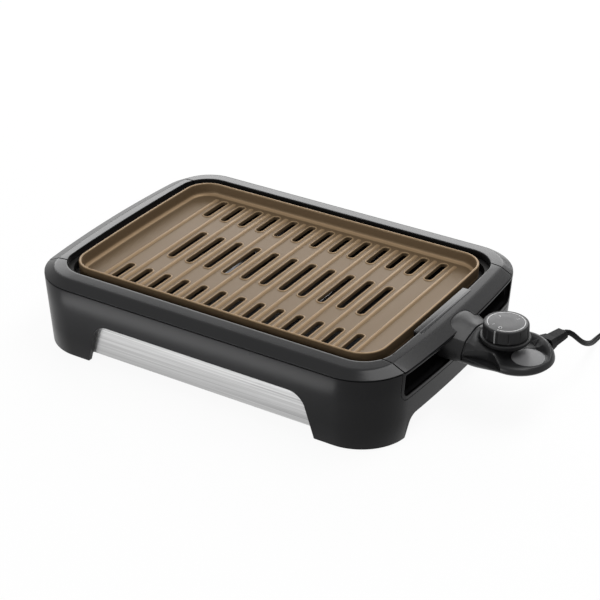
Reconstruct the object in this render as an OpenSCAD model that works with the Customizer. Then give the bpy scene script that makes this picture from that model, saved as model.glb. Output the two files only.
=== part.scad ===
// Open-grate electric indoor grill: a moulded base on four corner legs, a lift-off slotted
// plate, a fixed tubular heater, a drip tray drawn out at the rear and a plug-in thermostat
// control with its cord. Millimetres. Origin: centre of the base, on the surface it stands on.
// X runs along the length, with the control at +X. Y runs to the rear. Z is up.

/* [Base] */
// Length of the base between its short ends, at the top of the wall and at a corner
base_len = 470; // [462:1:490]
// Depth of the base, front to rear, at the top of the wall
base_depth = 350; // [344:1:366]
// Radius of the base's upright corners
base_r = 57; // [50:1:62]
// How far the short ends bow outwards at mid-depth
end_bow = 11; // [6:1:12]
// How much each short end leans in towards the foot
lean_x = 3; // [1:0.5:5]
// How much the front and rear lean in towards the foot
lean_y = 5; // [2:0.5:6]
// Height of the top of the outer wall
wall_top = 89.4; // [88:0.2:94]
// Thickness of the moulded wall
wall_t = 3; // [2.4:0.2:3.6]
// Thickness of the deck that the rim pieces stand on
deck_t = 2.4; // [2:0.2:3]

/* [Legs and arches] */
// How far the rubber feet hold the legs off the surface
foot_gap = 1.5; // [1:0.5:3]
// Distance of the front arch's foot from the end of the base
front_leg = 81.5; // [79:0.5:89]
// Height of the front arch
front_arch_top = 55.5; // [50:0.5:56]
// Distance of a side arch's foot from the front or rear of the base
side_leg = 58; // [56:1:67]
// Height of a side arch
side_arch_top = 26.5; // [20:0.5:34]
// Height of the rear arch below the tray opening
rear_arch_top = 23; // [16:0.5:24]
// Diameter of a rubber foot
foot_d = 20; // [16:1:24]

/* [Finger recesses] */
// Distance of the recess's end from the front or rear of the base
recess_end = 49; // [47:1:57]
// Height of the recess floor
recess_floor = 57.8; // [54:0.2:62]
// How deep the recess reaches in from the end of the base
recess_in = 19; // [15:0.5:20]
// Thickness of the recess's walls
recess_t = 2.4; // [2:0.2:3]

/* [Rim pieces] */
// Gap between the rim's lower edge and the wall below it
rim_gap = 1.2; // [0.8:0.1:2]
// Height of the rim's inner edge
rim_top = 99; // [98:0.2:102]
// How far the outer crease lies below the rim's inner edge
crease_drop = 1.2; // [0.6:0.1:2]
// Width of the sloping outer band at the short ends
bevel_x = 14.4; // [11:0.2:17]
// Width of the sloping outer band at the front and rear
bevel_y = 12.8; // [10:0.2:15]
// Width of the rim at the short ends
rim_end = 21; // [18:0.5:23]
// Width of the rim at the front and rear
rim_side = 28; // [25:0.5:30]
// Corner radius of the opening inside the rim
opening_r = 36; // [30:1:42]
// Wall thickness of the rim pieces
rim_t = 2.6; // [2:0.2:3.2]
// Distance of the four seams from the front or rear of the base
seam_end = 47.5; // [43:0.5:55]
// Width of a seam
seam_w = 1.4; // [0.8:0.2:2]
// Half length of the inward step on the control side's handle
step_half = 58; // [44:1:70]
// How far that step reaches into the opening
step_in = 3.5; // [1:0.5:4.5]

/* [Grill plate] */
// Gap between the plate and the opening at the short ends
plate_gap_x = 10.5; // [9:0.5:14]
// Gap between the plate and the opening at the front and rear
plate_gap_y = 12.3; // [11:0.1:15]
// Corner radius of the plate
plate_r = 30; // [24:1:34]
// How far the plate's short ends bow outwards
plate_bow = 2.5; // [1:0.5:3]
// Height of the plate's rim
plate_rim = 100.5; // [98:0.5:104]
// Height of the cooking surface
plate_top = 85; // [84.5:0.5:87]
// Thickness of the plate's floor
plate_t = 4; // [3:0.2:5]
// Thickness of the plate's wall
plate_wall = 3; // [2.4:0.2:4]
// Distance between neighbouring slots
slot_pitch = 26; // [25:0.2:26.4]
// Width of a slot
slot_w = 6.8; // [5:0.2:8]
// Length of a slot in the front and rear rows
slot_end = 43.6; // [36:0.2:48]
// Length of a slot in the middle row
slot_mid = 71; // [60:1:72]
// Distance of the outer ends of the slots from the plate's edge
slot_margin = 15.8; // [13:0.1:21]
// Width of a raised rib
rib_w = 7.4; // [5:0.2:9]
// Height of a raised rib
rib_h = 2.2; // [1:0.2:3]
// Distance of the ribs' ends from the plate's edge
rib_margin = 12.7; // [10.7:0.1:24]

/* [Heater] */
// Diameter of the heater tube
tube_d = 7; // [6:0.2:7.4]
// Gap between the heater tube and the plate above it
tube_gap = 2; // [1.6:0.2:3]
// Distance of the heater's long runs from the middle
run_y = 55; // [50:1:58]
// Gap between the heater's left-hand bend and the wall of the chute
bend_gap = 4.7; // [2.7:0.1:12]
// Distance of the two cold ends from the middle
pin_y = 14; // [12:0.5:15]
// Diameter of a terminal pin
pin_d = 4.8; // [4:0.2:5.4]

/* [Drip tray] */
// Distance of the tray's side from the end of the base
tray_side = 63.5; // [62:0.5:66]
// Height of the tray's outer floor
tray_bottom = 30; // [26:1:36]
// Height of the tray's rim
tray_rim = 59.6; // [56:0.2:59.8]
// Wall thickness of the tray
tray_t = 1.6; // [1.2:0.2:2]
// Running clearance between the tray and what guides it
tray_gap = 0.4; // [0.3:0.1:0.6]

/* [Control] */
// How far the control socket stands out from the end of the base
shroud_out = 12; // [10:0.5:16]
// Half width of the control socket
shroud_half = 39; // [37:0.5:41]
// Height of the control socket's top
shroud_top = 93.4; // [92:0.2:95]
// Height of the control socket's underside
shroud_low = 58; // [56.5:0.5:60]
// Corner radius of the control socket
shroud_r = 16; // [12:0.5:17]
// Wall thickness of the control socket
shroud_t = 2.8; // [2.2:0.2:3.4]
// Gap between the control and its socket
seat_gap = 0.6; // [0.4:0.1:1]
// Distance of the control's round end from the socket
end_out = 53; // [50:0.5:55]
// Radius of the control's round end
end_r = 41; // [39:0.5:42]
// Height of the control's underside at the round end
control_low = 61.5; // [60:0.5:63]
// Height of the raised edge around the control's dish
control_top = 83.5; // [82:0.5:85]
// Height of the dish's floor
dish_z = 76.5; // [75.5:0.5:78]
// Wall thickness of the control's shells
shell_t = 2.4; // [2:0.2:3]
// Distance of the knob's axis from the socket
knob_out = 35.6; // [34:0.2:37]
// Diameter of the knob
knob_d = 51.4; // [48:0.2:52]
// Height of the knob's top
knob_top = 107.4; // [106:0.2:109]
// Height of the knob's skirt
knob_h = 19.4; // [17:0.2:20]
// Diameter of the indicator lens
lens_d = 34; // [28:0.5:35]
// Diameter of the temperature probe
probe_d = 6.2; // [5:0.2:7]
// How far the temperature probe reaches in from the recess's wall
probe_in = 64; // [56:1:74]

/* [Cord] */
// Width of the two-core cord
cord_w = 6.4; // [6:0.1:7]
// Thickness of the two-core cord
cord_t = 3.8; // [3.4:0.1:4.4]
// Mean diameter of the coil that the spare cord is wound into
coil_d = 73; // [68:1:78]

/* [Hidden] */
$fn = 48;
eps = 0.01;
corner_steps = 8;
end_steps = 8;

// Half sizes of the outer wall at its top and at the foot
top_hx = base_len / 2;
top_hy = base_depth / 2;
foot_hx = top_hx - lean_x;
foot_hy = top_hy - lean_y;
foot_r = base_r - 2;
foot_bow = end_bow - 4;
// Beyond the base on every side and above the knob, for cuts that pass right through
far = base_len;
sky = knob_top + 12.6;

// Arches, recesses and seams
front_arch_half = top_hx - front_leg;
side_arch_half = top_hy - side_leg;
split_x = front_arch_half + 6.5;
recess_half = top_hy - recess_end;
recess_x = top_hx - recess_in;
seam_y = top_hy - seam_end;

// Rim heights
rim_low = wall_top + rim_gap;
crease_z = rim_top - crease_drop;
open_hx = top_hx - rim_end;
open_hy = top_hy - rim_side;
open_bow = 4;
step_x = open_hx - step_in;

// Plate and its pattern of slots
plate_hx = open_hx - plate_gap_x;
plate_hy = open_hy - plate_gap_y;
slot_columns = floor((2 * plate_hx - 70) / slot_pitch) + 1;
slot_row = plate_hy - slot_margin - slot_end / 2;
rib_half = plate_hy - rib_margin;

// Liner that carries the plate and closes the base above the tray
liner_t = 0.8;
liner_hx = open_hx - 4;
liner_hy = open_hy - 6;
liner_r = opening_r - 2;
liner_bow = 3;
ledge_z = plate_top - plate_t - 0.3;
ledge_low = ledge_z - liner_t;
chute_hx = liner_hx - 44;
chute_hy = liner_hy - 17;
chute_low = tray_rim + 2.4;

// Heater
tube_z = plate_top - plate_t - tube_gap - tube_d / 2;
s_bend = (run_y - pin_y) / 2;
bend_x = chute_hx - liner_t - bend_gap - tube_d / 2 - run_y;
s_bend_x = chute_hx - 32;
bracket_x = 60;
pocket_in = recess_x - recess_t;
pin_x0 = pocket_in - 8.6;
pin_x1 = recess_x + 29;

// Tray
tray_hx = top_hx - tray_side;
tray_front = -(top_hy - 43);
tray_rear = top_hy - 9;
runner_front = tray_front - 2;
runner_rear = tray_rear - 6;
grip_half = 60;
flange_x = tray_hx + 3.3;
web_x = flange_x + tray_gap;

// Panel
panel_y = -(top_hy - 11);
panel_t = 0.8;
panel_low = 12;
frame_w = 2.5;

// Control
split_z = 70;
shroud_x = top_hx + end_bow + shroud_out;
seat_x = shroud_x + seat_gap;
end_x = shroud_x + end_out;
knob_x = shroud_x + knob_out;
probe_tip = recess_x - probe_in;
nose_x = recess_x + 10;
nose_y = 22;
nose_z0 = 66;
nose_z1 = 84;
neck_r = 14.6;
dish_r = end_r - 6.5;
lens_x = end_x + 16.5;
lens_y = -7;
lamp_z = dish_z - shell_t - 2.7;
collar_z = dish_z + 8;
spindle_d = 6;
spindle_hole = spindle_d + 2.6;
boot_a = 66;
boot_x = end_x + 12.2;
boot_y = 35.9;
boot_z = 70.5;
boot_l = 34;
boot_in = -3;
boot_out = 6;
boot_hole = 9;

// Screw places, X then Y
bezel_screw_x = 120;
handle_screw_y = 90;
panel_ear_x = 60;
panel_ear_z = 25;
bezel_screws = [for (sy = [1, -1]) for (sx = [-1, 1]) [sx * bezel_screw_x, sy * (top_hy - 20)]];
handle_screws = [for (sx = [-1, 1]) for (sy = [1, -1]) [sx * (top_hx - 9), sy * handle_screw_y]];
panel_high = front_arch_top + 10.5;
panel_wide = front_arch_half + 0.5;
panel_screws = [[-panel_ear_x, panel_high], [panel_ear_x, panel_high],
  [-panel_wide, panel_ear_z], [panel_wide, panel_ear_z]];
control_holes = [[seat_x + 9.4, 31], [seat_x + 9.4, -31], [end_x + 19, 24], [end_x + 7, -33]];
foot_x = foot_hx - 40;
foot_y = foot_hy - 28;
feet_at = [[foot_x, foot_y], [-foot_x, foot_y], [foot_x, -foot_y], [-foot_x, -foot_y]];

// Cord, from the boot down to the surface and on to the coil
cord_path = [[333.2, 58.4, 70.5], [335, 62.5, 70.5], [337, 67, 70.3], [339.5, 73, 69.2],
  [341.6, 79, 66.8], [343.2, 85, 63], [344.2, 91, 58.2], [344.6, 97, 52.9], [344.3, 104, 46.8],
  [343.2, 112, 40.3], [341.5, 121, 33.7], [339.3, 131, 27], [337, 141.5, 20.8], [334.4, 152.5, 15],
  [331.6, 164, 9.9], [329, 176, 6], [327, 188, 3.7], [326.6, 200, 2.6], [328.2, 211.5, 2.4],
  [331.8, 222, 2.5], [337.4, 231, 2.7], [344, 239, 2.9], [351, 246.8, 2.9], [357, 251.4, 2.9]];
coil_at = [386, 222];
coil_r = coil_d / 2;
coil_w = 3.2 * cord_w;
coil_z = 1;
tail_path = [[380, 251, 6.6], [388, 251.6, 6.6], [396, 251.5, 6.6], [404, 251, 6.7],
  [412, 250.5, 6.9], [420, 250.2, 7.2], [428, 250, 7.5], [435, 250, 7.7], [442, 250, 7.8],
  [450, 250, 7.8]];
plug_at = [441, 250, 7.8];

// Outlines: rounded rectangles whose short ends bow outwards
function corner(q, hx, hy, r) = let(sx = (q == 0 || q == 3) ? 1 : -1, sy = q < 2 ? 1 : -1)
  [for (k = [0:corner_steps]) let(a = 90 * (q + k / corner_steps))
    [sx * (hx - r) + r * cos(a), sy * (hy - r) + r * sin(a)]];
function side(s, hx, hy, r) = [for (k = [1:end_steps - 1])
  [s * hx, s * (hy - r) * (2 * k / end_steps - 1)]];
function bowed(pts, hy, bow) = [for (p = pts)
  [p[0] + sign(p[0]) * bow * (1 - pow(p[1] / hy, 2)), p[1]]];
function outline(hx, hy, r, bow) = bowed(concat(side(1, hx, hy, r), corner(0, hx, hy, r),
  corner(1, hx, hy, r), side(-1, hx, hy, r), corner(2, hx, hy, r), corner(3, hx, hy, r)), hy, bow);
function lift(pts, z) = [for (p = pts) [p[0], p[1], z]];
function band(hx, hy, r, bow, inset, z) =
  lift(outline(hx - inset, hy - inset, r - inset, bow), z);
function wall_ring(z, inset) = let(f = (z - foot_gap) / (wall_top - foot_gap))
  band(foot_hx + lean_x * f, foot_hy + lean_y * f, foot_r + 2 * f, foot_bow + 4 * f, inset, z);
// Rounded rectangle across the X axis
function slice(x, w, z0, z1, r) = [for (q = [0:3]) for (k = [0:5]) let(a = 90 * (q + k / 5),
  sy = (q == 0 || q == 3) ? 1 : -1, zc = q < 2 ? z1 - r : z0 + r)
  [x, sy * (w - r) + r * cos(a), zc + r * sin(a)]];
// Half of an arch: slant t, radius r, half width hb at the foot, height zt, foot at z0
function arch_side(s, t, r, hb, zt, z0) = let(zc = zt - r,
  xc = hb - r * cos(t) - (zc - z0 + r * sin(t)) * tan(t))
  [for (k = [0:6]) let(a = s > 0 ? t + (90 - t) * k / 6 : 90 - (90 - t) * k / 6)
    [s * (xc + r * cos(a)), zc + r * sin(a)]];
function arch(t, r, hb, zt, z0) = concat([[hb + 3 * tan(t), z0 - 3]], arch_side(1, t, r, hb, zt, z0),
  arch_side(-1, t, r, hb, zt, z0), [[-hb - 3 * tan(t), z0 - 3]]);

module skin(rings) {
  n = len(rings[0]);
  m = len(rings);
  points = [for (ring = rings) for (p = ring) p];
  walls = [for (j = [0:m - 2]) for (i = [0:n - 1]) let(a = j * n + i, b = j * n + (i + 1) % n)
    for (f = [[a, a + n, b + n], [a, b + n, b]]) f];
  low = [[for (i = [0:n - 1]) i]];
  high = [[for (i = [0:n - 1]) m * n - 1 - i]];
  polyhedron(points = points, faces = concat(low, walls, high));
}

// Sweep of a flat oval along a path
function unit(v) = v / norm(v);
function heading(path, k) = unit(path[min(k + 1, len(path) - 1)] - path[max(k - 1, 0)]);
function oval(path, k, w, t) = let(d = heading(path, k), u = unit(cross([0, 0, 1], d)),
  v = cross(d, u))
  [for (i = [0:9]) path[k] + u * (w / 2 * cos(36 * i)) + v * (t / 2 * sin(36 * i))];
module sweep(path, w, t) {
  skin([for (k = [0:len(path) - 1]) oval(path, k, w, t)]);
}

module box(x0, x1, y0, y1, z0, z1) {
  translate([x0, y0, z0]) cube([x1 - x0, y1 - y0, z1 - z0]);
}

module rod(x, y, z0, z1, d) {
  translate([x, y, z0]) cylinder(d = d, h = z1 - z0);
}

module rod_x(x0, x1, y, z, d) {
  translate([x0, y, z]) rotate([0, 90, 0]) cylinder(d = d, h = x1 - x0);
}

module rod_y(x, y0, y1, z, d) {
  translate([x, y1, z]) rotate([90, 0, 0]) cylinder(d = d, h = y1 - y0);
}

// Arch-shaped prism facing front or rear
module arch_y(t, r, hb, zt, y0, y1) {
  translate([0, y1, 0]) rotate([90, 0, 0]) linear_extrude(height = y1 - y0)
    polygon(arch(t, r, hb, zt, foot_gap));
}

// Arch-shaped prism facing the short ends
module arch_x(t, r, hb, zt, x0, x1) {
  translate([x0, 0, 0]) rotate([90, 0, 90]) linear_extrude(height = x1 - x0)
    polygon(arch(t, r, hb, zt, foot_gap));
}

// Recess void with rounded lower corners
module recess_void(g, x0, x1) {
  y = recess_half + g;
  z = recess_floor - g;
  r = 8;
  translate([x0, 0, 0]) rotate([90, 0, 90]) linear_extrude(height = x1 - x0)
    polygon(concat([[y, wall_top - deck_t], [-y, wall_top - deck_t]],
      [for (k = [0:5]) let(a = 180 + 18 * k) [-y + r + r * cos(a), z + r + r * sin(a)]],
      [for (k = [0:5]) let(a = 270 + 18 * k) [y - r + r * cos(a), z + r + r * sin(a)]]));
}

module shroud_form(g, x0, x1) {
  skin([for (x = [x0, x1]) slice(x, shroud_half + g, shroud_low - g, shroud_top + g,
    shroud_r + g)]);
}

// The whole base, before it is parted for its four nodes
module base_form() {
  difference() {
    union() {
      difference() {
        skin([wall_ring(foot_gap, 0), wall_ring(wall_top, 0)]);
        skin([wall_ring(foot_gap - 1, wall_t), wall_ring(wall_top - deck_t, wall_t)]);
      }
      // Recess walls
      for (s = [-1, 1]) mirror([s < 0 ? 1 : 0, 0, 0]) intersection() {
        recess_void(recess_t, pocket_in, far);
        skin([wall_ring(foot_gap, 1), wall_ring(wall_top, 1)]);
      }
      // Leg floors
      intersection() {
        skin([wall_ring(2.5, 1), wall_ring(5.5, 1)]);
        for (sx = [-1, 1]) for (sy = [-1, 1])
          box(min(sx * split_x, sx * far), max(sx * split_x, sx * far),
            min(sy * (foot_y - 22), sy * far), max(sy * (foot_y - 22), sy * far), 2.5, 5.5);
      }
      // Frame of the front arch
      difference() {
        arch_y(16, 22 + frame_w, front_arch_half + frame_w, front_arch_top + frame_w,
          panel_y - 7, panel_y);
        box(-far, far, panel_y - 10, panel_y + 3, -5, foot_gap);
      }
      for (p = panel_screws) rod_y(p[0], panel_y - 7, panel_y, p[1], 8);
    }
    // Recess voids
    for (s = [-1, 1]) mirror([s < 0 ? 1 : 0, 0, 0]) recess_void(0, recess_x, far);
    // Plate opening
    skin([band(liner_hx, liner_hy, liner_r, liner_bow, -0.4, wall_top - deck_t - 1),
      band(liner_hx, liner_hy, liner_r, liner_bow, -0.4, wall_top + 1)]);
    // Arches
    arch_y(16, 22, front_arch_half, front_arch_top, -far, panel_y + 3);
    arch_y(16, 12, front_arch_half - 1.5, rear_arch_top, top_hy - 12, far);
    arch_x(22, 14, side_arch_half, side_arch_top, top_hx - 13, far);
    arch_x(22, 14, side_arch_half, side_arch_top, -far, -(top_hx - 13));
    // Tray opening
    box(-(flange_x + 1.4), flange_x + 1.4, top_hy - 12, far, rear_arch_top - 1, tray_rim + 0.9);
    // Control socket, terminal block
    shroud_form(0.3, recess_x, far);
    box(pocket_in - 1, recess_x + 1, -24.2, 24.2, nose_z0 - 0.2, nose_z0 + 13.7);
    // Screw and foot holes
    for (p = concat(bezel_screws, handle_screws)) rod(p[0], p[1], wall_top - 4, wall_top + 1, 3.4);
    for (p = panel_screws) rod_y(p[0], panel_y - 4, panel_y + 1, p[1], 2.6);
    for (p = feet_at) rod(p[0], p[1], 2, 6, 6.4);
  }
}

module front_share() {
  box(-split_x, split_x, -far, 0, 0, far);
}

module rear_share() {
  box(-split_x, split_x, 0, far, tray_rim - 10, far);
}

module base_front() {
  color([0.06, 0.06, 0.06]) intersection() {
    base_form();
    front_share();
  }
}

module base_rear() {
  color([0.06, 0.06, 0.06]) intersection() {
    base_form();
    rear_share();
  }
}

module base_end(x0, x1) {
  difference() {
    intersection() {
      base_form();
      box(x0, x1, -far, far, 0, far);
    }
    front_share();
    rear_share();
  }
}

module base_left() {
  color([0.06, 0.06, 0.06]) base_end(-far, 0);
}

module base_right() {
  color([0.06, 0.06, 0.06]) base_end(0, far);
}

// The complete rim before it is parted
module rim_ring() {
  difference() {
    union() {
      skin([band(top_hx, top_hy, base_r, end_bow, 0, rim_low),
        band(top_hx - bevel_x, top_hy - bevel_y, base_r - 19, end_bow - 1.7, 0, crease_z),
        band(open_hx, open_hy, opening_r, open_bow, 0, rim_top)]);
      skin([band(top_hx, top_hy, base_r, end_bow, 2.2, wall_top),
        band(top_hx, top_hy, base_r, end_bow, 2.2, rim_low + 0.6)]);
    }
    skin([band(open_hx, open_hy, opening_r, open_bow, 0, wall_top - 1),
      band(open_hx, open_hy, opening_r, open_bow, 0, rim_top + 1)]);
    difference() {
      skin([band(top_hx, top_hy, base_r, end_bow, 2.2 + rim_t, wall_top - 1),
        band(top_hx, top_hy, base_r, end_bow, 2.4 + rim_t, rim_low + 0.4),
        band(top_hx - bevel_x, top_hy - bevel_y, base_r - 19, end_bow - 1.7, 1, crease_z - rim_t),
        band(open_hx, open_hy, opening_r, open_bow, -rim_t, rim_top - rim_t)]);
      skin([band(open_hx, open_hy, opening_r, open_bow, -rim_t, wall_top - 1),
        band(open_hx, open_hy, opening_r, open_bow, -rim_t, rim_top)]);
    }
  }
}

module screw_post(p) {
  difference() {
    rod(p[0], p[1], wall_top, crease_z - rim_t + 0.6, 7.6);
    rod(p[0], p[1], wall_top - 1, crease_z - 3, 2.6);
  }
}

module bezel(s) {
  difference() {
    rim_ring();
    box(-far, far, s > 0 ? -far : -(seam_y + seam_w / 2), s > 0 ? seam_y + seam_w / 2 : far,
      wall_top - 2, rim_top + 2);
    box(-(liner_hx + 6.4), liner_hx + 6.4, -(liner_hy + 10.4), liner_hy + 10.4, wall_top - 1,
      wall_top + liner_t);
  }
  for (p = bezel_screws) if (s * p[1] > 0) screw_post(p);
}

module handle(s) {
  difference() {
    intersection() {
      rim_ring();
      box(s > 0 ? 0 : -far, s > 0 ? far : 0, -(seam_y - seam_w / 2), seam_y - seam_w / 2,
        wall_top - 2, rim_top + 2);
    }
    box(-(liner_hx + 10.4), liner_hx + 10.4, -(liner_hy + 10.4), liner_hy + 10.4, wall_top - 1,
      wall_top + liner_t);
  }
  for (p = handle_screws) if (s * p[0] > 0) screw_post(p);
}

module front_bezel() {
  color([0.07, 0.07, 0.07]) bezel(-1);
}

module rear_bezel() {
  color([0.07, 0.07, 0.07]) bezel(1);
}

module left_handle() {
  color([0.09, 0.09, 0.09]) handle(-1);
}

module right_handle() {
  color([0.09, 0.09, 0.09]) difference() {
    union() {
      handle(1);
      box(step_x, open_hx + open_bow, -step_half, step_half, rim_top - 7, rim_top);
    }
    box(step_x + rim_t, open_hx + open_bow + 1, -(step_half - rim_t), step_half - rim_t,
      rim_top - 8, rim_top - rim_t);
    shroud_form(0.3, recess_x, far);
  }
}

module front_trim_panel() {
  color([0.85, 0.85, 0.86]) difference() {
    union() {
      intersection() {
        arch_y(16, 28, front_arch_half + 6, front_arch_top + 6, panel_y, panel_y + panel_t);
        box(-far, far, panel_y - 1, panel_y + 2, panel_low, far);
      }
      for (s = [-1, 1]) {
        box(s * panel_ear_x - 7, s * panel_ear_x + 7, panel_y, panel_y + panel_t, panel_high - 8,
          panel_high + 6);
        box(s * (panel_wide - 2) - 7, s * (panel_wide - 2) + 7, panel_y, panel_y + panel_t,
          panel_ear_z - 6, panel_ear_z + 6);
      }
    }
    for (p = panel_screws) rod_y(p[0], panel_y - 1, panel_y + 2, p[1], 3.4);
  }
}

// Way out for the heater and the probe
module heater_way(x0, x1) {
  box(x0, x1, -(pin_y + tube_d + 3), pin_y + tube_d + 3, tube_z - tube_d / 2 - 2, ledge_low + eps);
}

module heat_shield() {
  color([0.42, 0.42, 0.43]) difference() {
    union() {
      // Upper wall and its flange
      difference() {
        union() {
          skin([band(liner_hx, liner_hy, liner_r, liner_bow, 0, ledge_low),
            band(liner_hx, liner_hy, liner_r, liner_bow, 0, wall_top + liner_t)]);
          skin([band(liner_hx, liner_hy, liner_r, liner_bow, -6, wall_top),
            band(liner_hx, liner_hy, liner_r, liner_bow, -6, wall_top + liner_t)]);
        }
        skin([band(liner_hx, liner_hy, liner_r, liner_bow, liner_t, ledge_z),
          band(liner_hx, liner_hy, liner_r, liner_bow, liner_t, wall_top + 2)]);
      }
      // Chute below the ledge
      box(-chute_hx, chute_hx, -chute_hy, chute_hy, chute_low, ledge_z);
    }
    box(-(chute_hx - liner_t), chute_hx - liner_t, -(chute_hy - liner_t), chute_hy - liner_t,
      chute_low - 1, ledge_z + 1);
    heater_way(chute_hx - 2, chute_hx + 1);
    shroud_form(0.3, recess_x - 0.3, far);
  }
}

module round_box(hx, y0, y1, r, z0, z1) {
  box(-hx, hx, y0 + r, y1 - r, z0, z1);
  box(-hx + r, hx - r, y0, y1, z0, z1);
  for (s = [-1, 1]) for (y = [y0 + r, y1 - r]) rod(s * (hx - r), y, z0, z1, 2 * r);
}

module drip_tray() {
  color([0.1, 0.1, 0.1]) difference() {
    union() {
      round_box(tray_hx, tray_front + 3, tray_rear, 15, tray_bottom, tray_rim);
      round_box(flange_x, tray_front, tray_rear, 17, tray_rim - 1.5, tray_rim);
    }
    round_box(tray_hx - tray_t, tray_front + 3 + tray_t, tray_rear - tray_t, 13.4,
      tray_bottom + tray_t, tray_rim + 1);
  }
}

module tray_fascia() {
  color([0.07, 0.07, 0.07]) difference() {
    union() {
      box(-(flange_x - 0.2), flange_x - 0.2, tray_rear, tray_rear + 4.4, rear_arch_top + 1.6,
        tray_rim);
      box(-grip_half, grip_half, tray_rear + 4.3, tray_rear + 8.6, rear_arch_top + 1.6,
        rear_arch_top + 4.6);
    }
    box(-(grip_half - 10), grip_half - 10, tray_rear + 5.8, tray_rear + 9, rear_arch_top + 3.2,
      rear_arch_top + 6);
  }
}

module tray_runners() {
  color([0.5, 0.5, 0.52]) difference() {
    for (s = [-1, 1]) mirror([s < 0 ? 1 : 0, 0, 0]) {
      box(web_x, web_x + 1.2, runner_front, runner_rear, tray_rim - 3, ledge_low);
      box(web_x - 3, web_x + 1.2, runner_front, runner_rear, tray_rim - 3, tray_rim - 1.8);
    }
    heater_way(web_x - 1, web_x + 3);
  }
}

module slot(x, y, l) {
  box(x - slot_w / 2, x + slot_w / 2, y - (l - slot_w) / 2, y + (l - slot_w) / 2, plate_top - 15,
    plate_top + 10);
  for (s = [-1, 1]) rod(x, y + s * (l - slot_w) / 2, plate_top - 15, plate_top + 10, slot_w);
}

module grill_plate() {
  hx = plate_hx;
  hy = plate_hy;
  tab_x = chute_hx - 4;
  tab_y = chute_hy - 3.6;
  z = plate_top;
  color([0.5, 0.42, 0.34]) difference() {
    union() {
      difference() {
        skin([band(hx, hy, plate_r, plate_bow, 2.6, z - plate_t),
          band(hx, hy, plate_r, plate_bow, 0.8, z - plate_t + 2),
          band(hx, hy, plate_r, plate_bow, 0, plate_rim)]);
        skin([band(hx, hy, plate_r, plate_bow, plate_wall + 4.2, z),
          band(hx, hy, plate_r, plate_bow, plate_wall + 1.6, z + 1.4),
          band(hx, hy, plate_r, plate_bow, plate_wall + 0.5, z + 4.4),
          band(hx, hy, plate_r, plate_bow, plate_wall, plate_rim + 1)]);
      }
      // Ribs between the columns of slots
      for (i = [0:slot_columns]) let(x = (i - slot_columns / 2) * slot_pitch)
        skin([for (g = [0, 1]) [for (c = [[-1, -1], [1, -1], [1, 1], [-1, 1]])
          [x + c[0] * (rib_w / 2 - 1.2 * g), c[1] * (rib_half - 3 * g),
            z - 0.5 + g * (rib_h + 0.5)]]]);
      // Tabs that centre the plate in the liner
      for (sx = [-1, 1]) for (sy = [-1, 1]) {
        box(sx * tab_x - 1.6, sx * tab_x + 1.6, sy * 84 - 9, sy * 84 + 9, z - plate_t - 4,
          z - plate_t + 1);
        box(sx * 104 - 9, sx * 104 + 9, sy * tab_y - 1.6, sy * tab_y + 1.6, z - plate_t - 4,
          z - plate_t + 1);
      }
    }
    for (i = [1:slot_columns]) for (s = [-1, 1])
      slot((i - (slot_columns + 1) / 2) * slot_pitch, s * slot_row, slot_end);
    for (i = [2:slot_columns - 1])
      slot((i - (slot_columns + 1) / 2) * slot_pitch, 0, slot_mid);
  }
}

// Part of a ring of round bar, lying flat
module bend(x, y, r, a0, a1, d) {
  translate([x, y, tube_z]) rotate([0, 0, a0]) rotate_extrude(angle = a1 - a0)
    translate([r, 0]) circle(d = d);
}

module heating_element() {
  x0 = s_bend_x;
  x1 = x0 + 2 * s_bend;
  color([0.16, 0.15, 0.15]) {
    bend(-bend_x, 0, run_y, 90, 270, tube_d);
    for (s = [-1, 1]) rod_x(-bend_x, x0, s * run_y, tube_z, tube_d);
    bend(x0, run_y - s_bend, s_bend, 0, 90, tube_d);
    bend(x1, pin_y + s_bend, s_bend, 180, 270, tube_d);
    bend(x0, -(run_y - s_bend), s_bend, 270, 360, tube_d);
    bend(x1, -(pin_y + s_bend), s_bend, 90, 180, tube_d);
    for (s = [-1, 1]) rod_x(x1, pin_x0, s * pin_y, tube_z, tube_d);
  }
}

module terminal_pins() {
  color([0.78, 0.76, 0.7]) for (s = [-1, 1]) {
    rod_x(pin_x0, pin_x1 - 1.5, s * pin_y, tube_z, pin_d);
    translate([pin_x1 - 1.5, s * pin_y, tube_z]) rotate([0, 90, 0])
      cylinder(d1 = pin_d, d2 = pin_d - 1.6, h = 1.5);
  }
}

module element_brackets() {
  y1 = chute_hy - liner_t;
  z1 = tube_z - tube_d / 2 - 0.3;
  color([0.6, 0.6, 0.62]) for (x = [-bracket_x, bracket_x]) difference() {
    union() {
      box(x - 6, x + 6, -y1, y1, z1 - 1.2, z1);
      for (s = [-1, 1]) {
        box(x - 6, x + 6, s * (y1 - 0.6) - 0.6, s * (y1 - 0.6) + 0.6, chute_low + 1, z1);
        box(x - 5, x + 5, s * run_y - 7, s * run_y + 7, z1 - 0.5, tube_z - 0.5);
      }
    }
    for (s = [-1, 1]) rod_x(x - 8, x + 8, s * run_y, tube_z, tube_d + 0.4);
  }
}

module terminal_block() {
  color([0.88, 0.86, 0.82]) difference() {
    union() {
      box(pin_x0, recess_x, -24, 24, nose_z0, nose_z0 + 13.5);
      box(pin_x0, pocket_in, -30, 30, nose_z0 - 2, nose_z0 + 13.5);
    }
    for (s = [-1, 1]) rod_x(pin_x0 - 1, recess_x + 1, s * pin_y, tube_z, pin_d + 0.1);
    rod_x(pin_x0 - 1, recess_x + 1, 0, tube_z, probe_d + 2);
  }
}

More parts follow.
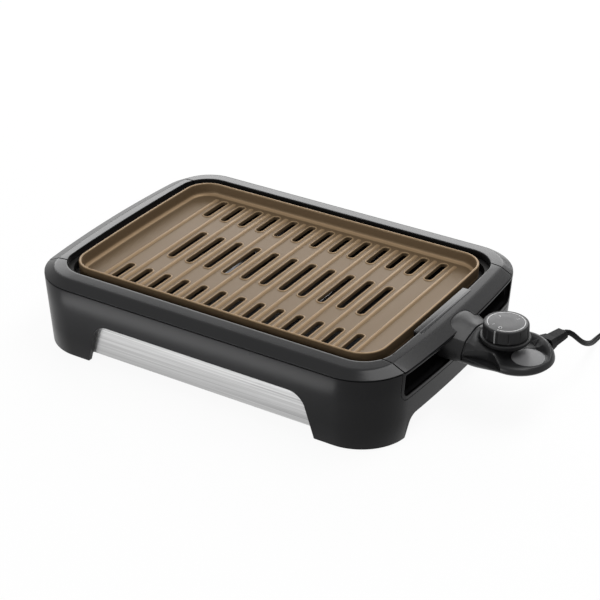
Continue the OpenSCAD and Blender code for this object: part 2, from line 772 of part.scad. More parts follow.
module control_shroud() {
  color([0.06, 0.06, 0.06]) difference() {
    shroud_form(0, recess_x, shroud_x);
    difference() {
      shroud_form(-shroud_t, recess_x + 2.4, shroud_x + 1);
      // Guide sleeve for the control's nose
      box(recess_x, shroud_x - 9, -(nose_y + 2.4), nose_y + 2.4, nose_z0 - 2.4, nose_z1 + 2.4);
      box(recess_x, shroud_x - 12, -1, 1, nose_z1, shroud_top);
      box(recess_x, shroud_x - 12, -shroud_half, shroud_half, tube_z - 1, tube_z + 1);
    }
    box(recess_x + 2.4, shroud_x, -(nose_y + 0.6), nose_y + 0.6, nose_z0 - 0.6, nose_z1 + 0.6);
    for (s = [-1, 1]) rod_x(recess_x - 1, recess_x + 5, s * pin_y, tube_z, pin_d + 2);
    rod_x(recess_x - 1, recess_x + 5, 0, tube_z, probe_d + 2);
  }
}

// Body of the control: slices from the seam to the round end
function end_slice(a, g) = let(w = end_r * cos(a), d = end_r * (1 - sin(a)),
  e = d < 9 ? 9 - sqrt(81 - pow(9 - d, 2)) : 0)
  slice(end_x + (end_r - g) * sin(a), max(w - g, 1.2), control_low + e + g, control_top - e - g,
    min(9 - g / 2, max(w - g, 1.2) - 0.1, (control_top - control_low) / 2 - e - g - 0.1));
function control_slices(g) = concat([
  slice(seat_x + g, shroud_half - 1.4 - g, shroud_low + 0.6 + g, shroud_top - 1 - g, shroud_r - g),
  slice(seat_x + 10, shroud_half - 0.4 - g, shroud_low + 1.3 + g, shroud_top - 3.8 - g, 14.5 - g),
  slice(seat_x + 22, shroud_half + 0.8 - g, shroud_low + 2.3 + g, shroud_top - 7.6 - g, 12.5 - g),
  slice(end_x - 18, end_r - 0.4 - g, control_low - 0.5 + g, control_top + 0.2 - g, 10.5 - g)],
  [for (a = [0, 15, 29, 42, 53, 62, 70, 77]) end_slice(a, g)]);

module control_form() {
  difference() {
    skin(control_slices(0));
    // Seat of the knob and the dish around it
    rod(knob_x, 0, collar_z - 0.8, sky, knob_d + 2.4);
    rod(end_x, 0, dish_z, sky, 2 * dish_r);
    rod(lens_x, lens_y, dish_z - 10, sky, lens_d - 3);
    rod(lens_x, lens_y, dish_z - 1, sky, lens_d + 0.4);
    rod(knob_x, 0, dish_z - 10, sky, spindle_hole);
    difference() {
      skin(control_slices(shell_t));
      rod(end_x, 0, dish_z - shell_t, sky, 2 * (dish_r + shell_t));
      rod(knob_x, 0, collar_z - 0.8 - shell_t, sky, knob_d + 2.4 + 2 * shell_t);
    }
    // Way through for the nose and the cord boot
    box(seat_x - 1, seat_x + shell_t + 1, -nose_y, nose_y, nose_z0, nose_z1);
    translate([boot_x, boot_y, boot_z]) rotate([0, 0, boot_a]) rod_x(-8, 8, 0, 0, boot_hole);
  }
  difference() {
    rod(knob_x, 0, dish_z - shell_t, collar_z, 2 * neck_r);
    rod(knob_x, 0, dish_z - shell_t - 1, collar_z + 1, spindle_hole);
  }
}

module control_upper_shell() {
  color([0.07, 0.07, 0.07]) intersection() {
    control_form();
    box(seat_x - 1, end_x + far, -far, far, split_z + 0.2, far);
  }
}

module control_lower_shell() {
  color([0.06, 0.06, 0.06]) {
    difference() {
      intersection() {
        control_form();
        box(seat_x - 1, end_x + far, -far, far, 0, split_z - 0.2);
      }
      for (p = control_holes) rod(p[0], p[1], 50, split_z, 6.8);
    }
    for (p = control_holes) difference() {
      rod(p[0], p[1], control_low + 0.2, split_z - 0.2, 8.8);
      rod(p[0], p[1], control_low, control_low + shell_t, 6.8);
      rod(p[0], p[1], control_low, split_z, 3.2);
    }
  }
}

module control_nose() {
  color([0.8, 0.78, 0.74]) difference() {
    union() {
      box(nose_x, seat_x + 5, -nose_y + 0.1, nose_y - 0.1, nose_z0 + 0.1, nose_z1 - 0.1);
      box(seat_x + shell_t, seat_x + 5, -nose_y - 3, nose_y + 3, nose_z0 - 3, nose_z1 + 1.5);
    }
    for (s = [-1, 1]) rod_x(nose_x - 1, seat_x + 6, s * pin_y, tube_z, pin_d + 3.2);
    rod_x(nose_x - 1, seat_x + 6, 0, tube_z, probe_d + 0.1);
  }
}

module socket_contacts() {
  color([0.8, 0.66, 0.36]) for (s = [-1, 1]) difference() {
    rod_x(nose_x + 2, seat_x + 12, s * pin_y, tube_z, pin_d + 3.2);
    rod_x(nose_x + 1, seat_x + 9, s * pin_y, tube_z, pin_d + 0.8);
  }
}

module probe_rod() {
  color([0.75, 0.75, 0.76]) {
    rod_x(probe_tip + probe_d / 2, seat_x + 12, 0, tube_z, probe_d);
    translate([probe_tip + probe_d / 2, 0, tube_z]) sphere(d = probe_d);
  }
}

module thermostat_block() {
  color([0.75, 0.73, 0.68]) difference() {
    box(seat_x + 14, end_x - 2, -15, 15, control_low + shell_t + 0.1, dish_z - shell_t - 0.6);
    rod(knob_x, 0, control_low + 6, dish_z, spindle_d + 0.2);
  }
}

module contact_arm() {
  color([0.8, 0.66, 0.36]) for (s = [-1, 1]) {
    box(seat_x + 12, seat_x + 22, s * 18.5 - 2.5, s * 18.5 + 2.5, tube_z - 7.5, tube_z - 6.5);
    box(seat_x + 12, seat_x + 13, s * 18.5 - 2.5, s * 18.5 + 2.5, tube_z - 7.5, tube_z + 2);
  }
}

// Routes of the two inner leads, from the centre of the round end
lead_paths = [[[-29.6, 18, 68.5], [-21, 22, 67.4], [-9, 24.5, 67.5], [1, 25.4, 69.5],
    [9, 27.4, 70.4], [12.7, 32, 70.5]],
  [[-29.6, -18.5, 68.5], [-21, -19.5, 67.4], [-10, -19.4, 67], [-0.4, -16, 67], [3.4, -6, 67],
    [4, 4, 67], [2.6, 14, 67.6], [4.6, 25, 69.6], [9, 33.6, 70.5]]];

module internal_leads() {
  color([0.9, 0.9, 0.9]) translate([end_x, 0, 0]) for (path = lead_paths) sweep(path, 2.4, 2.4);
}

module pilot_lamp() {
  color([0.9, 0.55, 0.3]) {
    rod_x(lens_x - 7, lens_x + 4, lens_y, lamp_z, 5);
    translate([lens_x + 4, lens_y, lamp_z]) sphere(d = 5);
  }
}

module pilot_lens() {
  color([0.42, 0.43, 0.44]) {
    rod(lens_x, lens_y, dish_z - shell_t, dish_z - 1, lens_d - 3.2);
    rod(lens_x, lens_y, dish_z - 1, dish_z + 0.4, lens_d);
    translate([lens_x, lens_y, dish_z + 0.4]) cylinder(d1 = lens_d, d2 = lens_d - 2, h = 0.6);
  }
}

module dial_collar() {
  color([0.05, 0.05, 0.05]) difference() {
    rod(knob_x, 0, collar_z, knob_top - knob_h - 0.4, knob_d - 1.8);
    rod(knob_x, 0, collar_z - 1, knob_top, spindle_hole);
  }
}

module knob_spindle() {
  color([0.7, 0.7, 0.72]) rod(knob_x, 0, control_low + 6.4, knob_top - 6, spindle_d);
}

module control_knob() {
  teeth = 44;
  z0 = knob_top - knob_h;
  color([0.05, 0.05, 0.05]) {
    difference() {
      union() {
        translate([knob_x, 0, z0]) linear_extrude(height = knob_h - 1.2)
          polygon([for (i = [0:2 * teeth - 1]) let(r = knob_d / 2 - (i % 2) * 0.9,
            a = i * 180 / teeth) [r * cos(a), r * sin(a)]]);
        translate([knob_x, 0, knob_top - 1.2]) cylinder(d1 = knob_d - 1, d2 = knob_d - 3, h = 1.2);
      }
      rod(knob_x, 0, z0 - 1, knob_top - 3, knob_d - 7);
      rod(knob_x, 0, knob_top - 0.8, knob_top + 1, knob_d - 6);
    }
    difference() {
      rod(knob_x, 0, z0 + 1, knob_top - 2.9, 11);
      rod(knob_x, 0, z0, knob_top - 6, spindle_d);
    }
  }
}

module dial_disc() {
  color([0.5, 0.5, 0.5]) rod(knob_x, 0, knob_top - 0.8, knob_top - 0.1, knob_d - 6.4);
}

module strain_relief() {
  color([0.05, 0.05, 0.05]) translate([boot_x, boot_y, boot_z]) rotate([0, 0, boot_a])
    difference() {
      union() {
        rod_x(boot_in, boot_out + 1, 0, 0, boot_hole - 0.4);
        skin([slice(boot_out, 7.4, -6, 6, 3), slice(boot_out + 4, 7, -5.8, 5.8, 2.6),
          slice(boot_out + 20, 6.2, -5, 5, 2.2), slice(boot_l, 5.2, -4, 4, 2)]);
      }
      box(boot_l - 10, boot_l + 1, -cord_w / 2 - 0.4, cord_w / 2 + 0.4, -cord_t / 2 - 0.4,
        cord_t / 2 + 0.4);
    }
}

module power_cord() {
  color([0.04, 0.04, 0.04]) {
    sweep(cord_path, cord_w, cord_t);
    sweep(tail_path, cord_w, cord_t);
  }
}

module cord_coil() {
  color([0.04, 0.04, 0.04]) translate(coil_at) rotate_extrude(convexity = 4)
    translate([coil_r - coil_w / 2, coil_z]) square([coil_w, cord_t]);
}

module cord_tie() {
  x = coil_at[0] + coil_r;
  g = coil_w / 2 + 0.2;
  color([0.12, 0.12, 0.12]) difference() {
    box(x - g - 0.7, x + g + 0.7, coil_at[1] - 2.5, coil_at[1] + 2.5, 0.1, coil_z + cord_t + 0.9);
    box(x - g, x + g, coil_at[1] - 3, coil_at[1] + 3, coil_z - 0.2, coil_z + cord_t + 0.2);
  }
}

module plug_body() {
  color([0.04, 0.04, 0.04]) translate(plug_at) difference() {
    skin([slice(0, 5, -4, 4, 2.4), slice(10, 7.5, -5.2, 5.2, 3), slice(14, 12, -7, 7, 4),
      slice(34, 12.6, -7.4, 7.4, 4), slice(36, 11.6, -6.4, 6.4, 3.4)]);
    for (s = [-1, 1]) box(26, 37, s * 6.35 - 0.8, s * 6.35 + 0.8, -3.2, 3.2);
    box(-1, 10, -cord_w / 2 - 0.4, cord_w / 2 + 0.4, -cord_t / 2 - 0.6, cord_t / 2 + 0.4);
  }
}

module plug_blades() {
  color([0.82, 0.7, 0.42]) translate(plug_at) for (s = [-1, 1]) difference() {
    box(26, 53, s * 6.35 - 0.8, s * 6.35 + 0.8, -3.2, 3.2);
    rod_y(49, s * 6.35 - 1, s * 6.35 + 1, 0, 2.6);
  }
}

module rubber_feet() {
  color([0.1, 0.1, 0.1]) for (p = feet_at) {
    rod(p[0], p[1], 0, 2.5, foot_d);
    rod(p[0], p[1], 2.4, 5.5, 6.2);
    rod(p[0], p[1], 5.5, 7.5, 8);
  }
}

module pan_screw(l) {
  translate([0, 0, -1.8]) cylinder(d = 6, h = 1.8);
  translate([0, 0, -0.01]) cylinder(d = 2.6, h = l);
}

module rim_screws() {
  color([0.7, 0.7, 0.72]) for (p = concat(bezel_screws, handle_screws))
    translate([p[0], p[1], wall_top - deck_t]) pan_screw(7);
}

module panel_fixings() {
  color([0.7, 0.7, 0.72]) for (p = panel_screws)
    translate([p[0], panel_y + panel_t, p[1]]) rotate([90, 0, 0]) pan_screw(4.4);
}

module control_screws() {
  color([0.7, 0.7, 0.72]) for (p = control_holes)
    translate([p[0], p[1], control_low + 2.4]) pan_screw(7);
}

base_front();
base_rear();
base_left();
base_right();
front_bezel();
rear_bezel();
left_handle();
right_handle();
front_trim_panel();
heat_shield();
drip_tray();
tray_fascia();
tray_runners();
grill_plate();
heating_element();
terminal_pins();
element_brackets();
terminal_block();
control_shroud();
control_upper_shell();
control_lower_shell();
control_nose();
socket_contacts();
probe_rod();
thermostat_block();
contact_arm();
internal_leads();
pilot_lamp();
pilot_lens();
dial_collar();
knob_spindle();
control_knob();
dial_disc();
strain_relief();
power_cord();
cord_coil();
cord_tie();
plug_body();
plug_blades();
rubber_feet();
rim_screws();
panel_fixings();
control_screws();
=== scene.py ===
"""Electric indoor grill with a plug-in control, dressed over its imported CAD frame.

The file is laid out as an add-on: sizes and colours are properties, each group of pieces has an
operator, and main() calls them in order. Everything is in metres in the frame's own axes.
"""
import math
from contextlib import contextmanager

import bpy
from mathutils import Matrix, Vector


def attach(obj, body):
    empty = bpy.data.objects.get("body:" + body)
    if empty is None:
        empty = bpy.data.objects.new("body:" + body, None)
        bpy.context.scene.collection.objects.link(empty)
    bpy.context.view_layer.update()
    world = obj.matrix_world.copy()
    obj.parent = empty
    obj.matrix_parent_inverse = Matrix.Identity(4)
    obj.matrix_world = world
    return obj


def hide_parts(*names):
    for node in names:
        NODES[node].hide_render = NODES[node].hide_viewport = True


bl_info = {
    "name": "Indoor Grill",
    "version": (1, 0, 0),
    "blender": (4, 5, 0),
    "location": "View3D > Sidebar > Grill",
    "description": "Models an electric indoor grill and its stage",
    "category": "Add Mesh",
}

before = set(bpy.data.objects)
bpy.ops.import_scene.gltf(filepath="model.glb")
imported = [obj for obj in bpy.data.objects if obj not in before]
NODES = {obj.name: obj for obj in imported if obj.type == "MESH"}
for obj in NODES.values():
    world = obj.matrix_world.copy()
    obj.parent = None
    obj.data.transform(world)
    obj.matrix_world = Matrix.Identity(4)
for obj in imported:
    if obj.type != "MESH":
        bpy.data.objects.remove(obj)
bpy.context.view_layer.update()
MM = 0.001


# ---------------- sizes and colours


class GrillSizes(bpy.types.PropertyGroup):
    """Sizes of the grill's visible pieces"""

    edge: bpy.props.FloatProperty(
        name="Edge", description="Rounding of moulded edges in the shading", default=0.6 * MM,
        unit="LENGTH")
    knob_radius: bpy.props.FloatProperty(
        name="Knob radius", description="Radius of the temperature knob", default=25.6 * MM,
        unit="LENGTH")
    lens_radius: bpy.props.FloatProperty(
        name="Lens radius", description="Radius of the round indicator lens", default=18.4 * MM,
        unit="LENGTH")
    rib_height: bpy.props.FloatProperty(
        name="Rib height", description="How far a rib stands above the plate", default=2.2 * MM,
        unit="LENGTH")
    slot_width: bpy.props.FloatProperty(
        name="Slot width", description="Width of a drain slot in the plate", default=9.0 * MM,
        unit="LENGTH")
    cord_width: bpy.props.FloatProperty(
        name="Cord width", description="Width of the flat mains cord", default=6.4 * MM,
        unit="LENGTH")


class GrillColours(bpy.types.PropertyGroup):
    """Colours of the grill's finishes"""

    black: bpy.props.FloatVectorProperty(
        name="Black", description="Moulded plastic", subtype="COLOR",
        default=(0.009, 0.009, 0.0095))
    bronze: bpy.props.FloatVectorProperty(
        name="Bronze", description="Non-stick coating", subtype="COLOR",
        default=(0.112, 0.077, 0.044))
    steel: bpy.props.FloatVectorProperty(
        name="Steel", description="Front panel", subtype="COLOR", default=(0.44, 0.44, 0.44))


# ---------------- material helpers


def new_material(name, base, roughness, metallic=0.0, specular=0.5):
    """A material with a Principled shader, and its tree and shader"""
    mat = bpy.data.materials.new(name)
    mat.use_nodes = True
    tree = mat.node_tree
    shader = tree.nodes["Principled BSDF"]
    shader.inputs["Base Color"].default_value = (*base, 1)
    shader.inputs["Roughness"].default_value = roughness
    shader.inputs["Metallic"].default_value = metallic
    shader.inputs["Specular IOR Level"].default_value = specular
    return mat, tree, shader


def wire(tree, *pairs):
    """Links each pair of an output and an input"""
    for start, end in pairs:
        tree.links.new(start, end)


def object_point(tree, scale=(1, 1, 1)):
    """Object coordinates, stretched by a Mapping node"""
    coords = tree.nodes.new("ShaderNodeTexCoord")
    mapping = tree.nodes.new("ShaderNodeMapping")
    mapping.inputs["Scale"].default_value = scale
    wire(tree, (coords.outputs["Object"], mapping.inputs["Vector"]))
    return mapping.outputs["Vector"]


def new_group(name, inputs, outputs):
    """An empty node group with named sockets, its input node and its output node"""
    group = bpy.data.node_groups.new(name, "ShaderNodeTree")
    for way, sockets in (("INPUT", inputs), ("OUTPUT", outputs)):
        for label, kind in sockets:
            group.interface.new_socket(name=label, in_out=way, socket_type="NodeSocket" + kind)
    return group, group.nodes.new("NodeGroupInput"), group.nodes.new("NodeGroupOutput")


def make_variation():
    """Uneven colour and gloss: one cloudy mask drives both"""
    group, source, sink = new_group(
        "variation",
        (("Vector", "Vector"), ("Scale", "Float"), ("First", "Color"), ("Second", "Color"),
         ("Smooth", "Float"), ("Rough", "Float")),
        (("Color", "Color"), ("Roughness", "Float")))
    cloud = group.nodes.new("ShaderNodeTexNoise")
    cloud.inputs["Detail"].default_value = 4
    shade = group.nodes.new("ShaderNodeMix")
    shade.data_type = "RGBA"
    gloss = group.nodes.new("ShaderNodeMapRange")
    wire(group,
         (source.outputs["Vector"], cloud.inputs["Vector"]),
         (source.outputs["Scale"], cloud.inputs["Scale"]),
         (cloud.outputs["Fac"], shade.inputs[0]),
         (source.outputs["First"], shade.inputs[6]),
         (source.outputs["Second"], shade.inputs[7]),
         (cloud.outputs["Fac"], gloss.inputs["Value"]),
         (source.outputs["Smooth"], gloss.inputs["To Min"]),
         (source.outputs["Rough"], gloss.inputs["To Max"]),
         (shade.outputs[2], sink.inputs["Color"]),
         (gloss.outputs["Result"], sink.inputs["Roughness"]))
    return group


def make_grain():
    """Fine moulded, sprayed or rolled texture as a height"""
    group, source, sink = new_group(
        "grain", (("Vector", "Vector"), ("Scale", "Float"), ("Coarseness", "Float")),
        (("Height", "Float"),))
    speck = group.nodes.new("ShaderNodeTexNoise")
    speck.inputs["Detail"].default_value = 2
    wire(group,
         (source.outputs["Vector"], speck.inputs["Vector"]),
         (source.outputs["Scale"], speck.inputs["Scale"]),
         (source.outputs["Coarseness"], speck.inputs["Roughness"]),
         (speck.outputs["Fac"], sink.inputs["Height"]))
    return group


def placed(tree, group, **values):
    """A node group in a material, with its values or links"""
    node = tree.nodes.new("ShaderNodeGroup")
    node.node_tree = GROUPS[group]
    for label, value in values.items():
        socket = node.inputs[label.capitalize()]
        if isinstance(value, bpy.types.NodeSocket):
            wire(tree, (value, socket))
        elif isinstance(value, tuple):
            socket.default_value = (*value, 1)
        else:
            socket.default_value = value
    return node.outputs


def bump(tree, shader, height, distance, strength, rounding):
    """Bump from a height, over edges that are rounded in the shading (mm)"""
    node = tree.nodes.new("ShaderNodeBump")
    node.inputs["Strength"].default_value = strength
    node.inputs["Distance"].default_value = distance * MM
    bevel = tree.nodes.new("ShaderNodeBevel")
    bevel.samples = 6
    bevel.inputs["Radius"].default_value = rounding * MM
    wire(tree, (height, node.inputs["Height"]), (bevel.outputs["Normal"], node.inputs["Normal"]),
         (node.outputs["Normal"], shader.inputs["Normal"]))


def added(tree, share, below, colour):
    """A share of a colour, added to what lies below"""
    mix = tree.nodes.new("ShaderNodeMix")
    mix.data_type = "RGBA"
    mix.blend_type = "ADD"
    mix.inputs[7].default_value = (*colour, 1)
    wire(tree, (share, mix.inputs[0]), (below, mix.inputs[6]))
    return mix.outputs[2]


# ---------------- finishes

# Heights of the plate's floor and rolled edge (mm), and how light the coating is painted between
# them: its speckle, and a painted highlight on the ribs, slot lips and rolled edge
PLATE_FLOOR = 85
PLATE_TOP = 100.5
GLINT_GAIN = 0.35
# Painted highlight on the crests: where it ramps in and out over the plate's height, and how much
# lighter it makes the coating
CREST_HIGHLIGHT_LEVELS = ((0.01, 0), (0.035, 1), (0.16, 1), (0.24, 0), (0.95, 0), (0.985, 1))
CREST_HIGHLIGHT_GAIN = 1.1


def scaled(colour, factor, lift=0.0):
    """A colour made darker or lighter"""
    return tuple(min(1.0, c * factor + lift) for c in colour)


def textured(name, base, tints, roughness, spread, cloud, texture, relief, stretch=(1, 1, 1),
             **values):
    """One cloudy mask drives colour and gloss, over a fine texture.

    spread: the lowest and highest roughness, as shares; texture: its scale and coarseness;
    relief: its depth (mm), its strength and the rounding of edges (mm).
    """
    mat, tree, shader = new_material(name, base, roughness, **values)
    point = object_point(tree, stretch)
    look = placed(tree, "variation", vector=point, scale=cloud, first=tints[0], second=tints[1],
                  smooth=roughness * spread[0], rough=roughness * spread[1])
    wire(tree, (look["Color"], shader.inputs["Base Color"]),
         (look["Roughness"], shader.inputs["Roughness"]))
    grain = placed(tree, "grain", vector=point, scale=texture[0], coarseness=texture[1])
    bump(tree, shader, grain["Height"], *relief)
    return mat


def moulded(name, base, roughness, grain=900, specular=0.5):
    """Moulded plastic: a fine texture, uneven gloss and a trace of dust in the colour"""
    edge = bpy.context.scene.grill_sizes.edge / MM
    return textured(name, base, (base, scaled(base, 1.25, 0.001)), roughness, (0.88, 1.14), 14,
                    (grain, 0.5), (0.02, 0.5, edge), specular=specular)


def brushed(name, base, stretch, roughness):
    """Brushed or rolled sheet: streaks in colour, gloss and height, long where stretch is small"""
    return textured(name, base, (scaled(base, 0.45), scaled(base, 1.5)), roughness,
                    (0.75, 1.35), 1.0, (2.6, 0.7), (0.02, 0.5, 0.3), stretch, metallic=1.0)


def bare_metal(name, base, roughness):
    """Turned, drawn or stamped metal with faint handling marks"""
    return textured(name, base, (scaled(base, 0.88), base), roughness, (0.75, 1.35), 160,
                    (300, 0.7), (0.01, 0.4, 0.3), metallic=1.0)


def crest_highlight_mask(tree, point):
    """Painted highlight mask: 1 on the ribs, slot lips and rolled edge, where light catches the
    crests, and 0 elsewhere
    """
    axes = tree.nodes.new("ShaderNodeSeparateXYZ")
    height = tree.nodes.new("ShaderNodeMapRange")
    height.inputs["From Min"].default_value = PLATE_FLOOR * MM
    height.inputs["From Max"].default_value = PLATE_TOP * MM
    ramp = tree.nodes.new("ShaderNodeValToRGB")
    for place, level in CREST_HIGHLIGHT_LEVELS:
        stop = ramp.color_ramp.elements.new(place)
        stop.color = (level, level, level, 1)
    wire(tree, (point, axes.inputs[0]), (axes.outputs["Z"], height.inputs["Value"]),
         (height.outputs["Result"], ramp.inputs["Fac"]))
    return ramp.outputs["Color"]


def non_stick(name, base):
    """Sprayed coating: a metallic speckle over an uneven ground, with a painted highlight that
    lightens the crests
    """
    mat, tree, shader = new_material(name, base, 0.42, metallic=0.3, specular=0.14)
    point = object_point(tree)
    look = placed(tree, "variation", vector=point, scale=9, first=scaled(base, 0.9),
                  second=scaled(base, 1.12), smooth=0.4, rough=0.52)
    speck = placed(tree, "grain", vector=point, scale=1500, coarseness=0.7)["Height"]
    glint = added(tree, speck, look["Color"], scaled(base, GLINT_GAIN))
    # Painted highlight: the coating's colour is lightened on the ribs, slot lips and rolled edge
    crest = added(tree, crest_highlight_mask(tree, point), glint, scaled(base, CREST_HIGHLIGHT_GAIN))
    wire(tree, (crest, shader.inputs["Base Color"]),
         (look["Roughness"], shader.inputs["Roughness"]))
    bump(tree, shader, speck, 0.04, 0.6, 0.8)
    return mat


def make_finishes(colours):
    """Every finish of the grill, by its key"""
    black = tuple(colours.black)
    return {
        "gloss": moulded("gloss_black", black, 0.28, specular=0.1),
        "rim": moulded("rim_black", black, 0.22, specular=0.2),
        "control": moulded("control_black", black, 0.34, specular=0.22),
        "matte": moulded("matte_black", scaled(black, 0.8), 0.45, grain=1600, specular=0.2),
        "soft": moulded("cord_black", scaled(black, 0.7), 0.5, grain=2200, specular=0.05),
        "tray": moulded("tray_black", scaled(black, 0.9), 0.38, grain=1200),
        "insulator": moulded("insulator", (0.6, 0.56, 0.48), 0.6, grain=1400),
        "dial": moulded("dial_grey", (0.08, 0.08, 0.081), 0.5, grain=1800, specular=0.3),
        "lens": moulded("lens_grey", (0.095, 0.095, 0.097), 0.42, grain=1200, specular=0.4),
        "pointer": moulded("pointer_grey", (0.2, 0.2, 0.2), 0.4),
        "mark": moulded("mark_white", (0.6, 0.6, 0.6), 0.5),
        "lamp": moulded("lamp_amber", (0.7, 0.3, 0.1), 0.15),
        "bronze": non_stick("bronze_coating", tuple(colours.bronze)),
        "steel": brushed("brushed_steel", tuple(colours.steel), (4, 1, 700), 0.3),
        "sheet": brushed("rolled_sheet", (0.3, 0.3, 0.31), (12, 12, 12), 0.4),
        # Painted shade: the heat shield is made near black to stand for the shade inside the
        # housing
        "shade_sheet": bare_metal("shade_painted_sheet", (0.03, 0.029, 0.028), 0.55),
        "bright": bare_metal("bright_metal", (0.7, 0.69, 0.67), 0.22),
        "brass": bare_metal("contact_brass", (0.75, 0.58, 0.3), 0.28),
        "heater": bare_metal("heater_sheath", (0.09, 0.08, 0.075), 0.45),
    }


GROUPS = {}
FINISHES = {}

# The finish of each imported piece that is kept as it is
CAD_FINISHES = {
    # the heat shield takes the near-black sheet that paints the shade inside the housing
    "front_trim_panel": "steel", "heat_shield": "shade_sheet", "drip_tray": "tray",
    "tray_fascia": "gloss", "tray_runners": "sheet", "heating_element": "heater",
    "terminal_pins": "bright", "element_brackets": "sheet", "terminal_block": "insulator",
    "control_nose": "insulator", "socket_contacts": "brass", "probe_rod": "bright",
    "thermostat_block": "insulator", "contact_arm": "brass", "internal_leads": "soft",
    "pilot_lamp": "lamp", "plug_blades": "brass", "rubber_feet": "soft", "rim_screws": "bright",
    "panel_fixings": "bright", "cord_tie": "soft", "plug_body": "soft",
}


# ---------------- modelling helpers


def deselect():
    """Back to object mode with nothing selected"""
    if bpy.context.object and bpy.context.object.mode != "OBJECT":
        bpy.ops.object.mode_set(mode="OBJECT")
    bpy.ops.object.select_all(action="DESELECT")


def pick(obj):
    """Selects one object alone"""
    deselect()
    obj.select_set(True)
    bpy.context.view_layer.objects.active = obj


@contextmanager
def editing(obj):
    """Edit mode on one object with its whole mesh selected"""
    pick(obj)
    bpy.ops.object.mode_set(mode="EDIT")
    bpy.ops.mesh.select_all(action="SELECT")
    yield
    bpy.ops.object.mode_set(mode="OBJECT")


def dress(obj, body, slot, finish, *nodes):
    """Rides a finished piece on its body, gives it its finish and hides the CAD nodes it stands in
    for; the slot is not used
    """
    obj.data.materials.clear()
    obj.data.materials.append(FINISHES[finish])
    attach(obj, body)
    if nodes:
        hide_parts(*nodes)
    return obj


def linked(name, data):
    """A new object in the scene"""
    obj = bpy.data.objects.new(name, data)
    bpy.context.scene.collection.objects.link(obj)
    return obj


def mesh_object(name, verts, faces):
    """A new mesh object in the scene (metres)"""
    mesh = bpy.data.meshes.new(name)
    mesh.from_pydata([tuple(v) for v in verts], [], faces)
    mesh.update()
    return linked(name, mesh)


def smooth(obj, angle):
    """Smooth shading up to an angle in degrees"""
    pick(obj)
    bpy.ops.object.shade_smooth_by_angle(angle=math.radians(angle))
    return obj


def tidy_normals(obj, merge=0.01):
    """Merges points closer than a distance (mm) and turns every face outwards"""
    with editing(obj):
        bpy.ops.mesh.remove_doubles(threshold=merge * MM)
        bpy.ops.mesh.normals_make_consistent(inside=False)


def polar(x, y, r, a):
    """A point at a distance and an angle from a centre"""
    return x + r * math.cos(a), y + r * math.sin(a)


SIDE_STEPS = 16


def outline(hx, hy, r, bow, z, steps=20):
    """A rounded rectangle, anticlockwise from above, whose short ends bow outwards (mm)"""
    flat = []
    centres = ((hx - r, hy - r), (r - hx, hy - r), (r - hx, r - hy), (hx - r, r - hy))
    for quarter, (cx, cy) in enumerate(centres):
        for k in range(steps + 1):
            a = math.radians(90 * (quarter + k / steps))
            flat.append(polar(cx, cy, r, a))
        nx, ny = centres[(quarter + 1) % 4]
        a = math.radians(90 * (quarter + 1))
        (x0, y0), (x1, y1) = polar(cx, cy, r, a), polar(nx, ny, r, a)
        for k in range(1, SIDE_STEPS):
            flat.append((x0 + (x1 - x0) * k / SIDE_STEPS, y0 + (y1 - y0) * k / SIDE_STEPS))
    return [Vector((x + math.copysign(bow * (1 - (y / hy) ** 2), x), y, z)) * MM for x, y in flat]


def between(first, second, t, z=None):
    """A ring part of the way from one ring to another"""
    ring = [a.lerp(b, t) for a, b in zip(first, second)]
    if z is not None:
        for p in ring:
            p.z = z * MM
    return ring


def rounded(first, middle, last, steps=6):
    """Rings that round off the edge at the middle ring"""
    rings = []
    for k in range(steps + 1):
        t = k / steps
        rings.append([a * (1 - t) ** 2 + b * (2 * t * (1 - t)) + c * t ** 2
                      for a, b, c in zip(first, middle, last)])
    return rings


def loft(name, rings, closed=False, capped=False):
    """Skins rings of equal length, in order"""
    n = len(rings[0])
    faces = []
    for j in range(len(rings) if closed else len(rings) - 1):
        a, b = j * n, ((j + 1) % len(rings)) * n
        for i in range(n):
            k = (i + 1) % n
            faces.append((a + i, a + k, b + k, b + i))
    if capped:
        faces.append(tuple(reversed(range(n))))
        faces.append(tuple(range((len(rings) - 1) * n, len(rings) * n)))
    return mesh_object(name, [p for ring in rings for p in ring], faces)


def solid(name, rings, merge=0.01):
    """Skins rings and caps both ends, with every face outwards"""
    obj = loft(name, rings, capped=True)
    tidy_normals(obj, merge)
    return obj


def prism(name, profile, start, end, axis):
    """An outline of two coordinates, extruded along the third axis (mm)"""
    def place(u, v, w):
        return Vector({"X": (w, u, v), "Y": (u, w, v), "Z": (u, v, w)}[axis]) * MM
    obj = mesh_object(name, [place(u, v, start) for u, v in profile], [tuple(range(len(profile)))])
    with editing(obj):
        bpy.ops.mesh.extrude_region_move(
            TRANSFORM_OT_translate={"value": place(0, 0, end - start)})
    tidy_normals(obj)
    return obj


def cut(obj, *cutters, how="DIFFERENCE"):
    """Boolean with each cutter, which is then deleted"""
    for cutter in cutters:
        pick(obj)
        mod = obj.modifiers.new("cut", "BOOLEAN")
        mod.operation = how
        mod.solver = "EXACT"
        mod.object = cutter
        bpy.ops.object.modifier_apply(modifier=mod.name)
        bpy.data.objects.remove(cutter)
    return obj


def copied(node, name):
    """A merged copy of a CAD node's mesh"""
    obj = linked(name, NODES[node].data.copy())
    tidy_normals(obj)
    return obj


def joined(first, *others):
    """Joins other objects into the first"""
    pick(first)
    for obj in others:
        obj.select_set(True)
    bpy.ops.object.join()
    return first


def settled(name):
    """Names the shape that was just added, with its transform applied to the mesh"""
    obj = bpy.context.object
    obj.name = name
    bpy.ops.object.transform_apply(location=True, rotation=True, scale=True)
    return obj


